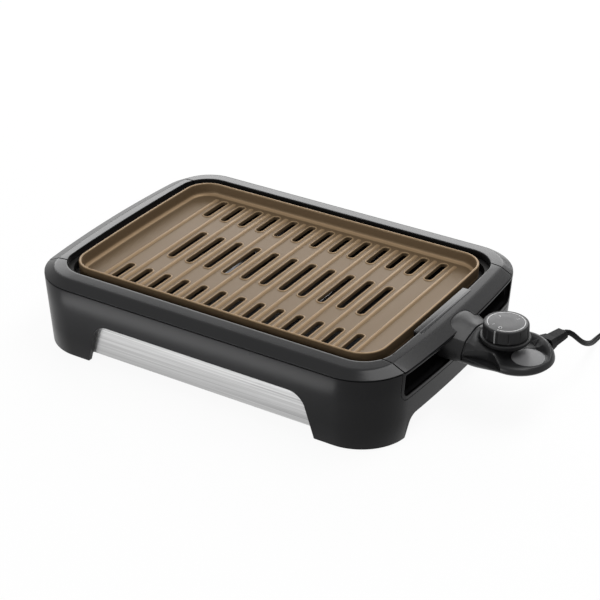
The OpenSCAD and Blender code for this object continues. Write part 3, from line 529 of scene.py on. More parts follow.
def block(name, x0, x1, y0, y1, z0, z1):
    """A box between two corners (mm)"""
    deselect()
    bpy.ops.mesh.primitive_cube_add(
        size=1, location=((x0 + x1) / 2 * MM, (y0 + y1) / 2 * MM, (z0 + z1) / 2 * MM))
    bpy.ops.transform.resize(value=((x1 - x0) * MM, (y1 - y0) * MM, (z1 - z0) * MM))
    return settled(name)


def side_block(name, side, x0, x1, *rest):
    """A box on one side of the middle, with X counted outwards (mm)"""
    return block(name, *sorted((side * x0, side * x1)), *rest)


def drum(name, x, y, z0, z1, radius, steps):
    """An upright cylinder (mm)"""
    deselect()
    bpy.ops.mesh.primitive_cylinder_add(
        vertices=steps, radius=radius * MM, depth=(z1 - z0) * MM,
        location=(x * MM, y * MM, (z0 + z1) / 2 * MM))
    return settled(name)


def along(table, d):
    """Reads a profile between its points"""
    for (d0, z0), (d1, z1) in zip(table, table[1:]):
        if d <= d1:
            return z0 + (z1 - z0) * (d - d0) / (d1 - d0)
    return table[-1][1]


def ease(t):
    """A smooth step from 0 to 1"""
    t = max(0.0, min(1.0, t))
    return t * t * (3 - 2 * t)


# ---------------- the base

WALL_TOP = 89.4
WALL_FOOT = 1.5
# Plan of the wall at its foot and top: half length, half depth, corner radius, bow of the ends
FOOT_PLAN = (232, 170, 55, 7)
TOP_PLAN = (235, 175, 57, 11)
DECK_PLAN = (210.4, 141.4, 34.4, 3)
DECK_LOW = 87
RIM_LOW = 90.6
# Arches: half width at the foot, top, radius of the shoulder and slant of the side (degrees)
FRONT_ARCH = (153.5, 55.5, 22, 16)
REAR_ARCH = (152, 24.6, 12, 16)
SIDE_ARCH = (117, 26.5, 14, 22)
# Half width and foot of the opening for the tray's front, and where the stops behind it stand
SLOT_HALF = 175.1
SLOT_LOW = 24.2
STOP_Y = (163.8, 165.5)
STOP_OUT = 178.4
# Finger recess in a handle end, and the outside of its pocket: half width, floor, corner radius
RECESS = (126, 57.8, 8)
POCKET = (128.4, 54.4, 10.4)
POCKET_TOP = 87.2


def wall_ring(z, inset=0.0):
    """The outer wall at a height; it leans and straightens towards the foot"""
    f = (z - WALL_FOOT) / (WALL_TOP - WALL_FOOT)
    hx, hy, r, bow = (a + (b - a) * f for a, b in zip(FOOT_PLAN, TOP_PLAN))
    return outline(hx - inset, hy - inset, r - inset, bow, z)


def arch_profile(half, top, radius, slant, low=-4):
    """An arch from foot to foot, with a straight slanting side and a round shoulder"""
    t = math.radians(slant)
    zc = top - radius
    xc = half - radius * math.cos(t) - (zc - WALL_FOOT + radius * math.sin(t)) * math.tan(t)
    right = [(half + (WALL_FOOT - low) * math.tan(t), low)]
    for k in range(13):
        a = t + (math.pi / 2 - t) * k / 12
        right.append(polar(xc, zc, radius, a))
    return right + [(-x, z) for x, z in reversed(right)]


def recess_profile(half, low, radius, high):
    """A U shape: half width, floor, corner radius and open top (mm)"""
    points = [(half, high), (-half, high)]
    for start, side in ((180, -1), (270, 1)):
        for k in range(9):
            a = math.radians(start + 90 * k / 8)
            points.append(polar(side * (half - radius), low + radius, radius, a))
    return points


def trough(outer, inner):
    """The wall between two recess outlines, each a half width, floor and corner radius (mm)"""
    def sides(outline_values):
        points = recess_profile(*outline_values, POCKET_TOP)
        return points[1:] + points[:1]
    return sides(outer) + sides(inner)[::-1]


def wall_core(low, high, inset):
    """What lies inside the wall by an inset"""
    return solid("core", [wall_ring(low, inset), wall_ring(high, inset)])


def make_pocket(s):
    """The pocket behind one finger recess, with a flange along its mouth"""
    mouth = prism("mouth", trough(POCKET, RECESS), s * 231.6, s * 250, "X")
    core = wall_core(40, 95, 1.2)
    sides = prism("trough", trough(POCKET, (125.2, 56.4, 8)), s * 216, s * 231.6, "X")
    back = prism("back", recess_profile(*POCKET, POCKET_TOP), s * 213.6, s * 216, "X")
    if s > 0:
        cut(back, block("window", 210, 220, -24.2, 24.2, 65.8, 79.7))
    return [cut(mouth, core, how="INTERSECT"), sides, back]


def make_stops(s):
    """Stops behind the edges of the tray's front; the pan slides between them"""
    low = SLOT_LOW - 2
    return [side_block("stop", s, 172.4, STOP_OUT, *STOP_Y, low, 57.4),
            side_block("cheek", s, SLOT_HALF + 0.2, STOP_OUT, STOP_Y[0], 169.4, low, 60),
            side_block("sill", s, 127, STOP_OUT, *STOP_Y, low, 29.4)]


def make_leg_floor(sx, sy):
    """The closed bottom of one corner leg"""
    floor = loft("floor", [wall_ring(2.5, 2), wall_ring(5.5, 2)], capped=True)
    quarter = side_block("quarter", sx, 160, 260, *sorted((sy * 120, sy * 200)), 0, 10)
    return cut(floor, quarter, how="INTERSECT")


def make_housing():
    """The moulded base: leaning wall, deck, arches, finger recesses and leg floors"""
    shell = loft("housing", [
        wall_ring(WALL_FOOT, 0.9), wall_ring(1.75, 0.3), wall_ring(2.4), wall_ring(30),
        wall_ring(60), wall_ring(88.5), wall_ring(89.15, 0.25), wall_ring(WALL_TOP, 0.9),
        outline(*DECK_PLAN, WALL_TOP), outline(*DECK_PLAN, DECK_LOW),
        wall_ring(DECK_LOW, 3), wall_ring(WALL_FOOT, 3)], closed=True)
    tidy_normals(shell)
    front = arch_profile(*FRONT_ARCH)
    cut(shell,
        prism("arch", front, -200, -158, "Y"),
        prism("arch", arch_profile(*REAR_ARCH), 158, 200, "Y"),
        block("slot", -SLOT_HALF, SLOT_HALF, 160, 200, SLOT_LOW, 60.5))
    for s in (-1, 1):
        x0, x1 = sorted((s * 222, s * 260))
        cut(shell, prism("arch", arch_profile(*SIDE_ARCH), x0, x1, "X"),
            prism("recess", recess_profile(*RECESS, DECK_LOW), x0, x1, "X"))
    # A fine groove round each finger recess
    for s in (-1, 1):
        band = prism("band", recess_profile(131, 52.8, 13, 100), s * 214, s * 262, "X")
        inner = prism("inner", recess_profile(130, 53.8, 12, 104), s * 212, s * 264, "X")
        cut(shell, cut(band, inner, wall_core(20, 100, 0.8)))
    cut(shell, shroud_cutter(222, 262))
    # Frame that the steel panel is seen through
    frame = prism("frame", arch_profile(156, 58, 24.5, 16, WALL_FOOT), -168.4, -164, "Y")
    cut(frame, prism("arch", front, -200, -150, "Y"))
    pieces = [frame]
    for s in (-1, 1):
        pieces += make_pocket(s) + make_stops(s)
        pieces += [make_leg_floor(s, side) for side in (-1, 1)]
    joined(shell, *pieces)
    return dress(smooth(shell, 28), "base", "black_plastic", "gloss",
                 "base_front", "base_rear", "base_left", "base_right")


SOCKET_START = 234
SOCKET_GAP = 0.25
# Inner half width, low and high side of the sleeve that takes the control's nose
SLEEVE = (22.6, 65.4, 84.6)
SLEEVE_WALL = 1.8
# Half sections of the socket at its mouth and where it meets the base: half width and height
SOCKET_LIP = ((0, 58), (12, 58), (22, 58.1), (28, 58.9), (32, 60.6), (34.6, 63.2), (35.9, 66.5),
              (36.2, 70), (35.6, 72.5), (33.2, 76.2), (29.8, 80.6), (26.4, 83.9), (25.6, 84.3),
              (20, 86), (14.6, 87.7), (13.6, 88), (7.5, 89.7), (3.5, 90.55), (0, 90.8))
SOCKET_ROOT = ((0, 58), (12, 58), (23, 58.1), (30, 58.9), (35, 60.6), (37.4, 63.6), (38.3, 67.5),
               (38.6, 72), (38.5, 77), (38, 81.6), (36.8, 86.4), (34.6, 90), (34, 90.5),
               (27, 93.7), (20, 95.2), (19, 95.4), (11, 96.4), (5, 96.8), (0, 96.9))


def socket_ring(x, grow=0.0):
    """The domed section of the control socket, larger towards the base (mm)"""
    reach = x - SOCKET_START
    t = ease(reach / 22) * 0.35 + max(0.0, min(1.0, reach / 24)) * 0.65
    half = [(y0 + (y1 - y0) * t, z0 + (z1 - z0) * t)
            for (y0, z0), (y1, z1) in zip(SOCKET_ROOT, SOCKET_LIP)]
    loop = half + [(-y, z) for y, z in reversed(half[1:-1])]
    ring = []
    for k, (y, z) in enumerate(loop):
        y0, z0 = loop[k - 1]
        y1, z1 = loop[(k + 1) % len(loop)]
        out = Vector((z1 - z0, y0 - y1)).normalized()
        ring.append(Vector((x, y + out.x * grow, z + out.y * grow)) * MM)
    return ring


def shroud_cutter(x0, x1):
    """A cutter in the shape of the control socket, with its clearance"""
    places = [x0] + [x for x in (SOCKET_START, 239, 244, 250, 256) if x0 < x < x1] + [x1]
    return solid("socket", [socket_ring(x, SOCKET_GAP) for x in places])


def make_socket():
    """The domed socket that the control plugs into"""
    outside = [(x, 0) for x in (216, SOCKET_START, 237, 240, 244, 248, 252, 256.8)]
    lip = [(257.7, -0.25), (258, -0.9), (257.7, -1.8), (256, -2.4), (244, -2.4), (219, -2.4)]
    socket = solid("control_socket", [socket_ring(x, grow) for x, grow in outside + lip])
    inner, low, high = SLEEVE
    outer, under, over = inner + SLEEVE_WALL, low - SLEEVE_WALL, high + SLEEVE_WALL
    for side in ((-outer, outer, under, low), (-outer, outer, high, over),
                 (-outer, -inner, under, over), (inner, outer, under, over)):
        joined(socket, block("sleeve", 219, 249, *side))
    return dress(smooth(socket, 40), "base", "black_plastic", "control", "control_shroud")


def opening(grow, z):
    """The edge of the opening for the plate, or a ring outside it"""
    return outline(214 + grow, 147 + grow, 36 + grow, 4, z)


def rim_profile():
    """Rings of the whole rim, from its lower edge over the crease to the opening"""
    low = outline(*TOP_PLAN, RIM_LOW)
    crease = outline(220.6, 162.2, 38, 9.3, 97.9)
    top = opening(0, 99.1)
    rings = [outline(232.4, 172.4, 54.6, 11, WALL_TOP + 0.1),
             outline(232.4, 172.4, 54.6, 11, RIM_LOW), outline(234.2, 174.2, 56.2, 11, RIM_LOW)]
    rings += rounded(outline(234.6, 174.6, 56.6, 11, RIM_LOW), low, between(low, crease, 0.09), 4)
    rings += [between(low, crease, t) for t in (0.3, 0.5, 0.7)]
    rings += rounded(between(low, crease, 0.86), crease, between(crease, top, 0.16), 6)
    rings += [between(crease, top, t) for t in (0.5, 0.85)]
    rings += rounded(between(crease, top, 0.94), top, opening(0, 98.4), 5)[1:]
    rings += [opening(0, 90.4), opening(2.4, 90.4), opening(2.4, 96.4),
              outline(219, 160, 36, 9, 95.2), outline(230, 170, 52, 11, 91),
              outline(230, 170, 52, 11, WALL_TOP + 0.1)]
    return rings


def halved(obj, axis, place, keep_above, fill):
    """Cuts an object by a plane across an axis and keeps one side (mm)"""
    normal = Vector([float(k == axis) for k in range(3)])
    with editing(obj):
        bpy.ops.mesh.bisect(plane_co=normal * place * MM, plane_no=normal, use_fill=fill,
                            clear_inner=keep_above, clear_outer=not keep_above)


def rim_part(name, cuts):
    """The rim, cut by planes at a distance along Y; each keeps the side named"""
    part = loft(name, rim_profile(), closed=True)
    tidy_normals(part)
    for y, keep_above in cuts:
        halved(part, 1, y, keep_above, True)
    return part


# The seams between bezels and handles
SEAM_Y = 127.5
SEAM_HALF = 0.8


def make_rim():
    """The two bezels and the two handles, cut from one rim, and the step at the control"""
    bezel, handle = SEAM_Y + SEAM_HALF, SEAM_Y - SEAM_HALF
    front = rim_part("front_rim", [(-bezel, False)])
    rear = rim_part("rear_rim", [(bezel, True)])
    left = rim_part("left_grip", [(-handle, True), (handle, False)])
    right = linked("right_grip", left.data.copy())
    halved(left, 0, 0, False, False)
    halved(right, 0, 0, True, False)
    step = block("step", 210.5, 222, -58, 58, 92, 99.1)
    pick(step)
    mod = step.modifiers.new("round", "BEVEL")
    mod.width = 1.2 * MM
    mod.segments = 4
    bpy.ops.object.modifier_apply(modifier=mod.name)
    cut(step, block("hollow", 213, 226, -55.6, 55.6, 90, 96.8))
    cut(right, shroud_cutter(216.5, 262))
    joined(right, step)
    for obj, node in ((front, "front_bezel"), (rear, "rear_bezel"), (left, "left_handle"),
                      (right, "right_handle")):
        dress(smooth(obj, 26), "base", "rim_plastic", "rim", node)


# ---------------- the plate

RIB_PITCH = 26
RIB_COUNT = 14
RIB_HALF = 122
# Middle of the outer rows of slots, and the lengths of their slots and the middle row's
ROW_Y = 97.1
SHORT_SLOT = 46
LONG_SLOT = 73.6
# Rings of a slot's raised lip: distance from the slot and height
SLOT_LIP = ((2.4, 84.9), (1.9, 85.4), (1.3, 85.9), (0.7, 86.05), (0.2, 85.8), (0, 84.6))


def plate_ring(inset, z):
    """The plate's outline by an inset, at a height (mm)"""
    return outline(203.5 - inset, 134.7 - inset, 30 - inset, 2.5, z, steps=14)


def stadium(x, y, r, d, steps=10):
    """A slot's outline: two half circles a distance 2 d apart along Y (mm)"""
    points = []
    for side in (0, 1):
        for k in range(steps + 1):
            a = math.pi * (side + k / steps)
            points.append(polar(x, y + (-d if side else d), r, a))
    return points


def make_plate():
    """The slotted plate: raised wall with a rolled edge, ribs and three rows of slots"""
    outside = [plate_ring(inset, z)
               for inset, z in ((3.2, 81), (1.4, 81.4), (0.6, 82.6), (0.4, 85), (0, 98.6))]
    edge = rounded(plate_ring(0, 99.2), plate_ring(0, PLATE_TOP), plate_ring(1.5, PLATE_TOP), 4)
    edge += rounded(plate_ring(1.6, PLATE_TOP), plate_ring(3, PLATE_TOP), plate_ring(3.2, 98.8), 4)
    inside = rounded(plate_ring(3.6, 91), plate_ring(4.2, 85.1), plate_ring(9.5, PLATE_FLOOR), 7)
    plate = solid("slotted_plate", outside + edge + inside)
    sizes = bpy.context.scene.grill_sizes
    r = sizes.slot_width / MM / 2
    slots, lips = [], []
    rows = [(i, s * ROW_Y, SHORT_SLOT) for i in range(-6, 7) for s in (-1, 1)]
    rows += [(i, 0, LONG_SLOT) for i in range(-5, 6)]
    for i, y, length in rows:
        x, d = i * RIB_PITCH, length / 2 - r
        slots.append(prism("slot", stadium(x, y, r, d), 78, 88, "Z"))
        lips.append(loft("lip", [[Vector((u, v, z)) * MM for u, v in stadium(x, y, r + grow, d)]
                                 for grow, z in SLOT_LIP]))
    cut(plate, joined(*slots))
    ribs = [rib((i - (RIB_COUNT - 1) / 2) * RIB_PITCH, RIB_HALF, sizes.rib_height / MM)
            for i in range(RIB_COUNT)]
    joined(plate, *ribs, *lips)
    return dress(smooth(plate, 32), "plate", "coated_plate", "bronze", "grill_plate")


def rib(x, half, height):
    """A low ridge with a rounded back that runs out at both ends"""
    across = [(-3.4, -0.2), (-2.7, 0.14), (-2.1, 0.5), (-1.5, 0.82), (-0.8, 0.97), (0, 1),
              (0.8, 0.97), (1.5, 0.82), (2.1, 0.5), (2.7, 0.14), (3.4, -0.2)]
    rings = []
    for y, share in ((-half, 0), (-half + 1.2, 0.35), (-half + 2.8, 0.8), (-half + 4.6, 1),
                     (half - 4.6, 1), (half - 2.8, 0.8), (half - 1.2, 0.35), (half, 0)):
        rings.append([Vector((x + u * (0.7 + 0.3 * share), y, PLATE_FLOOR - 0.05
                              + max(w, 0) * height * share + min(w, 0))) * MM
                      for u, w in across])
    return solid("rib", rings)


# ---------------- the control

# The body in plan: start, centre and radius of its round end, half width at the socket
BODY_START = 260.4
BODY_END = 309
BODY_R = 41
NECK_HALF = 36.2
KNOB_AT = (293.6, 0)
PAD_AT = (325.8, -8.1)
PAD_SEAT = 76
# Height of the upper surface at distances from the outline: at the socket, beside the knob, and
# on the far and the near side of the round end; then the rise of the belly at its start and end
DOME = ((0, 70.6), (0.6, 72.5), (3, 76.2), (6.4, 80.6), (9.8, 83.9), (10.6, 84.3), (16.2, 86),
        (21.6, 87.7), (22.6, 88), (28.7, 89.7), (32.7, 90.55), (36.2, 90.8), (41, 90.8))
NEAR_SIDE = ((0, 70.6), (0.6, 72.6), (1.5, 74.4), (3, 76.5), (5, 78.4), (8, 80.8), (12, 82.8),
             (14.6, 83.7), (15.6, 83.9), (41, 84))
FAR_END = ((0, 70.6), (0.6, 73), (1.5, 75.6), (3, 78.6), (5, 81.4), (7.5, 83), (9.5, 83.2),
           (13, 82), (17, 79.2), (21, 77), (25, 76.3), (41, 76.2))
NEAR_END = ((0, 70.6), (0.6, 72.3), (1.5, 73.8), (3, 75), (5, 75.7), (8, 76), (12, 76.1),
            (41, 76.1))
BELLY_START = ((0, 8), (0.6, 6), (1.8, 4.2), (3.5, 2.5), (6, 1.1), (9, 0.3), (12, 0), (40, 0))
BELLY_END = ((0, 9), (0.5, 7.6), (1.5, 6.1), (3, 4.7), (4.5, 3.7), (7, 2.5), (12, 0.9), (20, 0),
             (40, 0))


def body_outline(inset):
    """Plan of the control's body, straight at the socket and round at the far end"""
    points = []
    for k in range(29):
        x = BODY_START + (BODY_END - BODY_START) * k / 28
        wider = (BODY_R - NECK_HALF) * ease((x - BODY_START) / 42)
        points.append((x, -(NECK_HALF + wider - inset)))
    for k in range(1, 72):
        a = math.radians(-90 + 180 * k / 72)
        points.append(polar(BODY_END, 0, BODY_R - inset, a))
    points += [(x, -y) for x, y in reversed(points[:29])]
    y = NECK_HALF - inset
    points += [(BODY_START, y - 2 * y * k / 16) for k in range(1, 16)]
    return points


def body_top(x, y, d):
    """Height of the control's upper surface at a distance from its outline"""
    dome = along(DOME, d)
    near = along(NEAR_SIDE, d)
    turn = math.atan2(y, max(x - BODY_END, 0.001))
    side = ease((math.degrees(turn) + 14) / 66)
    # The far crest narrows where the lens comes near the edge
    free = BODY_R - 2 * ((PAD_AT[0] - BODY_END) * math.cos(turn) + PAD_AT[1] * math.sin(turn))
    crest = along(FAR_END, d * 24 / max(6.0, min(24.0, free - 0.2)))
    end = along(NEAR_END, d) * (1 - side) + crest * side
    t = ease((x - 292) / 14.5)
    z = near * (1 - t) + end * t
    beside = math.hypot(x - PAD_AT[0], y - PAD_AT[1])
    seat = (1 - ease((beside - 18.7) / 3.5)) * ease(d / 4)
    z = z * (1 - seat) + PAD_SEAT * seat
    start = ease((x - BODY_START) / 14)
    return dome * (1 - start) + z * start


def body_low(x, d):
    """Height of the control's lower surface at a distance from its outline"""
    t = ease((x - 268) / 36)
    level = 58.5 + 3.1 * t
    return level + along(BELLY_START, d) * (1 - t) + along(BELLY_END, d) * t


def turned(name, profile, x, y, steps=96):
    """A turned piece: an outline of radius and height, spun about an upright axis (mm)"""
    obj = mesh_object(name, [Vector((x + r, y, z)) * MM for r, z in profile], [])
    obj.data.edges.add(len(profile) - 1)
    for k, edge in enumerate(obj.data.edges):
        edge.vertices = (k, k + 1)
    with editing(obj):
        bpy.ops.mesh.spin(steps=steps, angle=2 * math.pi, center=(x * MM, y * MM, 0),
                          axis=(0, 0, 1))
    tidy_normals(obj)
    with editing(obj):
        bpy.ops.mesh.fill_holes(sides=0)
    tidy_normals(obj)
    return obj


# Distances from the outline at which the upper and lower shell are sampled, and the finger grip
TOP_INSETS = (0, 0.3, 0.6, 1, 1.5, 2.2, 3, 4, 5, 6.4, 7.2, 8, 9, 9.8, 10.6, 11.4, 12.3, 13, 14,
              14.8, 15.6, 16.4, 17.2, 18, 19, 20, 21, 21.6, 22.6, 24, 26, 28, 30, 32, 34, 35.6)
LOW_INSETS = (35.6, 30, 20, 16, 12, 9, 7, 6, 4.5, 3.5, 3, 1.8, 1.5, 1, 0.6, 0.3, 0)
GRIP_PLAN = ((250, -60), (250, -34.6), (260.5, -33.2), (266, -31.8), (272, -30.5), (278, -29.5),
             (283, -29), (287.5, -29), (292, -29.7), (297, -31.5), (301.5, -34.2), (305.5, -37.6),
             (309.5, -42), (314, -60))
SCREWS_AT = ((270, 27), (270, -24), (330, 24), (318, -27))
SCREW = ((0.5, 63.4), (1.6, 63.5), (2.6, 64), (2.9, 65.2), (1, 65.2))
NOSE_END = 255.4


def body_level(z, insets):
    """Level rings of the control's body at one height (mm)"""
    return [[Vector((x, y, z)) * MM for x, y in body_outline(d)] for d in insets]


def make_control():
    """The plug-in control's two shells, with the lens's dish, a finger grip and the nose"""
    top = [[Vector((x, y, body_top(x, y, d))) * MM for x, y in body_outline(d)]
           for d in TOP_INSETS]
    upper = solid("control_top", body_level(70.15, (35.6, 0.5)) + top)
    low = [[Vector((x, y, body_low(x, d))) * MM for x, y in body_outline(d)] for d in LOW_INSETS]
    lower = solid("control_base",
                  low + body_level(69.4, (0,)) + body_level(69.85, (0.5, 35.6)))
    for shell in (upper, lower):
        cut(shell, prism("scoop", GRIP_PLAN, 50, 100, "Z"))
    screws = []
    for x, y in SCREWS_AT:
        cut(lower, drum("bore", x, y, 50, 65, 3.4, 32))
        screws.append(turned("screw", SCREW, x, y, 32))
    nose = copied("control_nose", "nose")
    cut(nose, block("trim", NOSE_END, 320, -60, 60, 40, 120))
    dress(smooth(nose, 30), "control", "insulator", "insulator", "control_nose")
    joined(lower, solid("neck", [socket_ring(x, -3.1) for x in (250, 262)]))
    joined(*screws)
    dress(smooth(screws[0], 35), "control", "bright_metal", "bright", "control_screws")
    for shell, node in ((upper, "control_upper_shell"), (lower, "control_lower_shell")):
        dress(smooth(shell, 38), "control", "black_plastic", "control", node)


GROOVE_START = -57.6
GROOVE_PITCH = 30
# Rings of the knob: height, change of radius and depth of the grooves
KNOB_RINGS = ((92.2, -6, 0), (92.2, -1.2, 0), (92.5, -0.3, 0), (93, 0, 0), (93.6, 0, 1.1),
              (104.6, -0.3, 1.1), (105.4, -0.4, 0.4), (106.4, -0.7, 0), (107.1, -1.3, 0),
              (107.4, -2.1, 0), (107.3, -2.7, 0), (106.6, -3, 0), (106.6, -12, 0))
DIAL = ((8, 106.7), (22.7, 106.7), (23, 106.9), (23, 107.1), (22.7, 107.25), (8, 107.25))
COLLAR = ((12, 76), (14.6, 76), (14.6, 83), (22, 83.6), (26.3, 85.6), (27.6, 88), (28, 90.4),
          (27.7, 91), (26.8, 91.4), (23.8, 91.5), (23.4, 91.9), (12, 91.9))
MARK_LOW = 107.2
MARK_HIGH = 107.4
DIGITS = (("1", -9.6, -11.6), ("2", -11.7, 7.7), ("3", 7.8, 12.2))


def knob_ring(radius, z, grow, depth):
    """A section of the knob with its grooves (mm)"""
    points = []
    for k in range(360):
        a = math.radians(k + GROOVE_START)
        beside = abs((k + GROOVE_PITCH / 2) % GROOVE_PITCH - GROOVE_PITCH / 2)
        r = radius + grow - depth * max(0.0, 1 - beside / 2.2)
        points.append(Vector((*polar(*KNOB_AT, r, a), z)) * MM)
    return points


def make_knob():
    """Fluted knob with its pointer rib, and the dial disc let into its top"""
    kx, ky = KNOB_AT
    radius = bpy.context.scene.grill_sizes.knob_radius / MM
    knob = solid("knob", [knob_ring(radius, *ring) for ring in KNOB_RINGS])
    edge = ky - radius
    pointer = block("pointer", kx - 0.65, kx + 0.65, edge - 0.5, edge + 3, 92.6, 106.9)
    with editing(pointer):
        bpy.ops.transform.rotate(value=math.radians(3), orient_axis="Z",
                                 center_override=(kx * MM, ky * MM, 0))
    dress(smooth(knob, 35), "knob", "soft_black", "matte", "control_knob", "knob_spindle")
    dress(pointer, "knob", "soft_black", "pointer")
    disc = turned("dial_face", DIAL, kx, ky)
    dress(smooth(disc, 35), "knob", "dial_grey", "dial", "dial_disc")
    scale = arc("dial_scale", kx, ky, 20.3, 21.1, -92, 230, MARK_LOW, MARK_HIGH)
    marks = [arc("zero_mark", kx - 0.2, ky - 14.7, 1.4, 2.1, 0, 360, MARK_LOW, MARK_HIGH)]
    for digit, x, y in DIGITS:
        turn = math.atan2(y, x) - math.pi / 2
        marks.append(numeral(digit, kx + x, ky + y, turn, MARK_LOW))
    joined(scale, *marks)
    dress(scale, "knob", "dial_grey", "mark")
    collar = turned("knob_collar", COLLAR, kx, ky)
    dress(smooth(collar, 35), "control", "soft_black", "matte", "dial_collar")


def arc(name, x, y, r0, r1, start, end, z0, z1):
    """A flat ring, or a part of one (mm, degrees)"""
    steps = max(24, int((end - start) / 3))
    angles = [math.radians(start + (end - start) * k / steps) for k in range(steps + 1)]
    outer = [polar(x, y, r1, a) for a in angles]
    inner = [polar(x, y, r0, a) for a in reversed(angles)]
    return prism(name, outer + inner, z0, z1, "Z")


def numeral(text, x, y, turn, z):
    """A raised digit on the dial (mm)"""
    deselect()
    bpy.ops.object.text_add(location=(x * MM, y * MM, z * MM), rotation=(0, 0, turn))
    data = bpy.context.object.data
    data.body = text
    data.size = 4.6 * MM
    data.extrude = 0.18 * MM
    data.align_x = data.align_y = "CENTER"
    bpy.ops.object.convert(target="MESH")
    bpy.ops.object.transform_apply(location=True, rotation=True, scale=True)
    return bpy.context.object


# Corners of the arrow in plan
INDEX_PLAN = ((315.7, 21.6), (321.2, 16.8), (321.7, 25.3))


def make_index():
    """Small raised arrow beside the knob, laid along the sloping shell"""
    def level(x, y, rise):
        depth = BODY_R - math.hypot(x - BODY_END, y)
        return Vector((x, y, body_top(x, y, depth) + rise)) * MM
    rings = [[level(x, y, rise) for x, y in INDEX_PLAN] for rise in (-1.2, 0.45)]
    dress(solid("index", rings), "control", "black_plastic", "matte")


def make_pad():
    """Grey indicator lens, slightly domed"""
    x, y = PAD_AT
    r = bpy.context.scene.grill_sizes.lens_radius / MM
    pad = turned("indicator_lens", ((4, 74), (r - 1.5, 74), (r - 1.5, 75.4), (r, 75.4), (r, 76.5),
                                    (r - 0.3, 76.9), (r - 3, 77.2), (9, 77.42), (3, 77.48),
                                    (0.4, 77.5)), x, y)
    dress(smooth(pad, 35), "control", "lens_grey", "lens", "pilot_lens")


# ---------------- the cord

# The route before and after the coil
CORD_LEAD = ((331.6, 58.5, 72.8), (332.8, 64.6, 73.4), (334.6, 69, 73.9), (337.2, 73, 72.6),
             (340, 78, 68), (342.2, 84, 61), (343.6, 90, 54.6), (344.3, 97, 48.9),
             (344.3, 104, 44.3), (343.2, 112, 39.6), (341.5, 121, 34.4), (339.3, 131, 28.9),
             (337, 141.5, 23.2), (334.4, 152.5, 17.6), (331.6, 164, 12.4), (329, 176, 7.9),
             (327, 188, 4.6), (326.6, 200, 3), (328.2, 211.5, 2.5), (331.8, 222, 2.5),
             (337.4, 231, 2.7), (344, 239, 2.9))
CORD_TAIL = ((396, 251.5, 6.8), (404, 251, 6.8), (412, 250.5, 6.95), (420, 250.2, 7.2),
             (428, 250, 7.5), (435, 250, 7.7), (442, 250, 7.8), (450, 250, 7.8))
COIL_AT = (386, 222)
# The coil: outer radius, how much each turn is smaller, where it starts and how far it turns
# (degrees), the stretch over which it climbs, its height and the climb
COIL_R = 43.5
COIL_STEP = 6.5
COIL_START = 140
COIL_TURNS = 774
CLIMB_TURN = 62
COIL_Z = 2.9
CLIMB = 3.9
# The two cores: radius, distance from the middle, and how far the lead is twisted (degrees)
CORE_R = 1.66
CORE_OUT = 1.56
TWIST = 72


def cord_points():
    """Lead, a little over two turns of flat coil, and a low hump across them to the plug"""
    points = [Vector(p) for p in CORD_LEAD]
    steps = int(COIL_TURNS / 360 * 24)
    for k in range(steps + 1):
        swept = COIL_TURNS * k / steps
        a = math.radians(COIL_START - swept)
        r = COIL_R - COIL_STEP * swept / 360
        z = COIL_Z + CLIMB * ease((swept - COIL_TURNS + CLIMB_TURN) / CLIMB_TURN)
        points.append(Vector((*polar(*COIL_AT, r, a), z)))
    points += [Vector(p) for p in CORD_TAIL]
    return [p * MM for p in points]


def smooth_path(points, rounds=2):
    """Moves each inner point towards its neighbours"""
    for _ in range(rounds):
        inner = [points[i] * 0.5 + (points[i - 1] + points[i + 1]) * 0.25
                 for i in range(1, len(points) - 1)]
        points = [points[0]] + inner + [points[-1]]
    return points


BOOT_END = Vector((332.9, 65.4, 73))
BOOT_AXIS = Vector((0.184, 0.983, 0)).normalized()
# Distance back from the end, half widths of the top and the middle, heights of both, and depth
BOOT_RINGS = ((35, 8.6, 10.8, 9, 4.5, 6.6), (27, 7.2, 9.8, 7.8, 3.4, 6.6),
              (23.4, 6.8, 9.3, 7.1, 3, 6.6), (22.8, 6, 8.7, 6.3, 2.6, 6.3),
              (1, 5.2, 7.8, 5, 1.8, 5.4), (0, 4.4, 6.9, 4.3, 1.5, 4.8),
              (0, 2.6, 3.8, 2.9, 0.9, 2.9), (-4, 1.8, 2.8, 2.2, 0.6, 2.2))


def boot_ring(back, top_half, half, high, side, low):
    """An eight-sided section of the cord's boot, at a distance back from its end (mm)"""
    across = BOOT_AXIS.cross(Vector((0, 0, 1)))
    corners = ((top_half, high), (half, side), (half, -side), (top_half, -low),
               (-top_half, -low), (-half, -side), (-half, side), (-top_half, high))
    return [(BOOT_END - BOOT_AXIS * back + across * u + Vector((0, 0, w))) * MM
            for u, w in corners]


def make_boot():
    """The cord's boot: a collar, an eight-sided grip and a soft tail round the cord"""
    boot = solid("cord_boot", [boot_ring(*ring) for ring in BOOT_RINGS])
    dress(smooth(boot, 25), "control", "soft_black", "soft", "strain_relief")


def make_cord():
    """Two cores side by side in one flat sheath, swept along the route"""
    path = smooth_path(cord_points())
    section = []
    for s in (1, -1):
        for k in range(13):
            a = math.radians((-156 if s > 0 else 24) + 312 * k / 12)
            section.append(polar(s * CORE_OUT, 0, CORE_R, a))
    rings = []
    for i, p in enumerate(path):
        ahead = (path[min(i + 1, len(path) - 1)] - path[max(i - 1, 0)]).normalized()
        flat = Vector((0, 0, 1)).cross(ahead).normalized()
        edge = ahead.cross(flat)
        turn = 0
        if i < len(CORD_LEAD):
            turn = math.radians(TWIST) * (1 - ease((p.y / MM - 128) / 70))
        across = flat * math.cos(turn) + edge * math.sin(turn)
        up = ahead.cross(across)
        rings.append([p + across * u * MM + up * w * MM for u, w in section])
    cord = solid("mains_cord", rings, 0.001)
    dress(smooth(cord, 50), "control", "soft_black", "soft", "power_cord", "cord_coil")


# ---------------- the stage

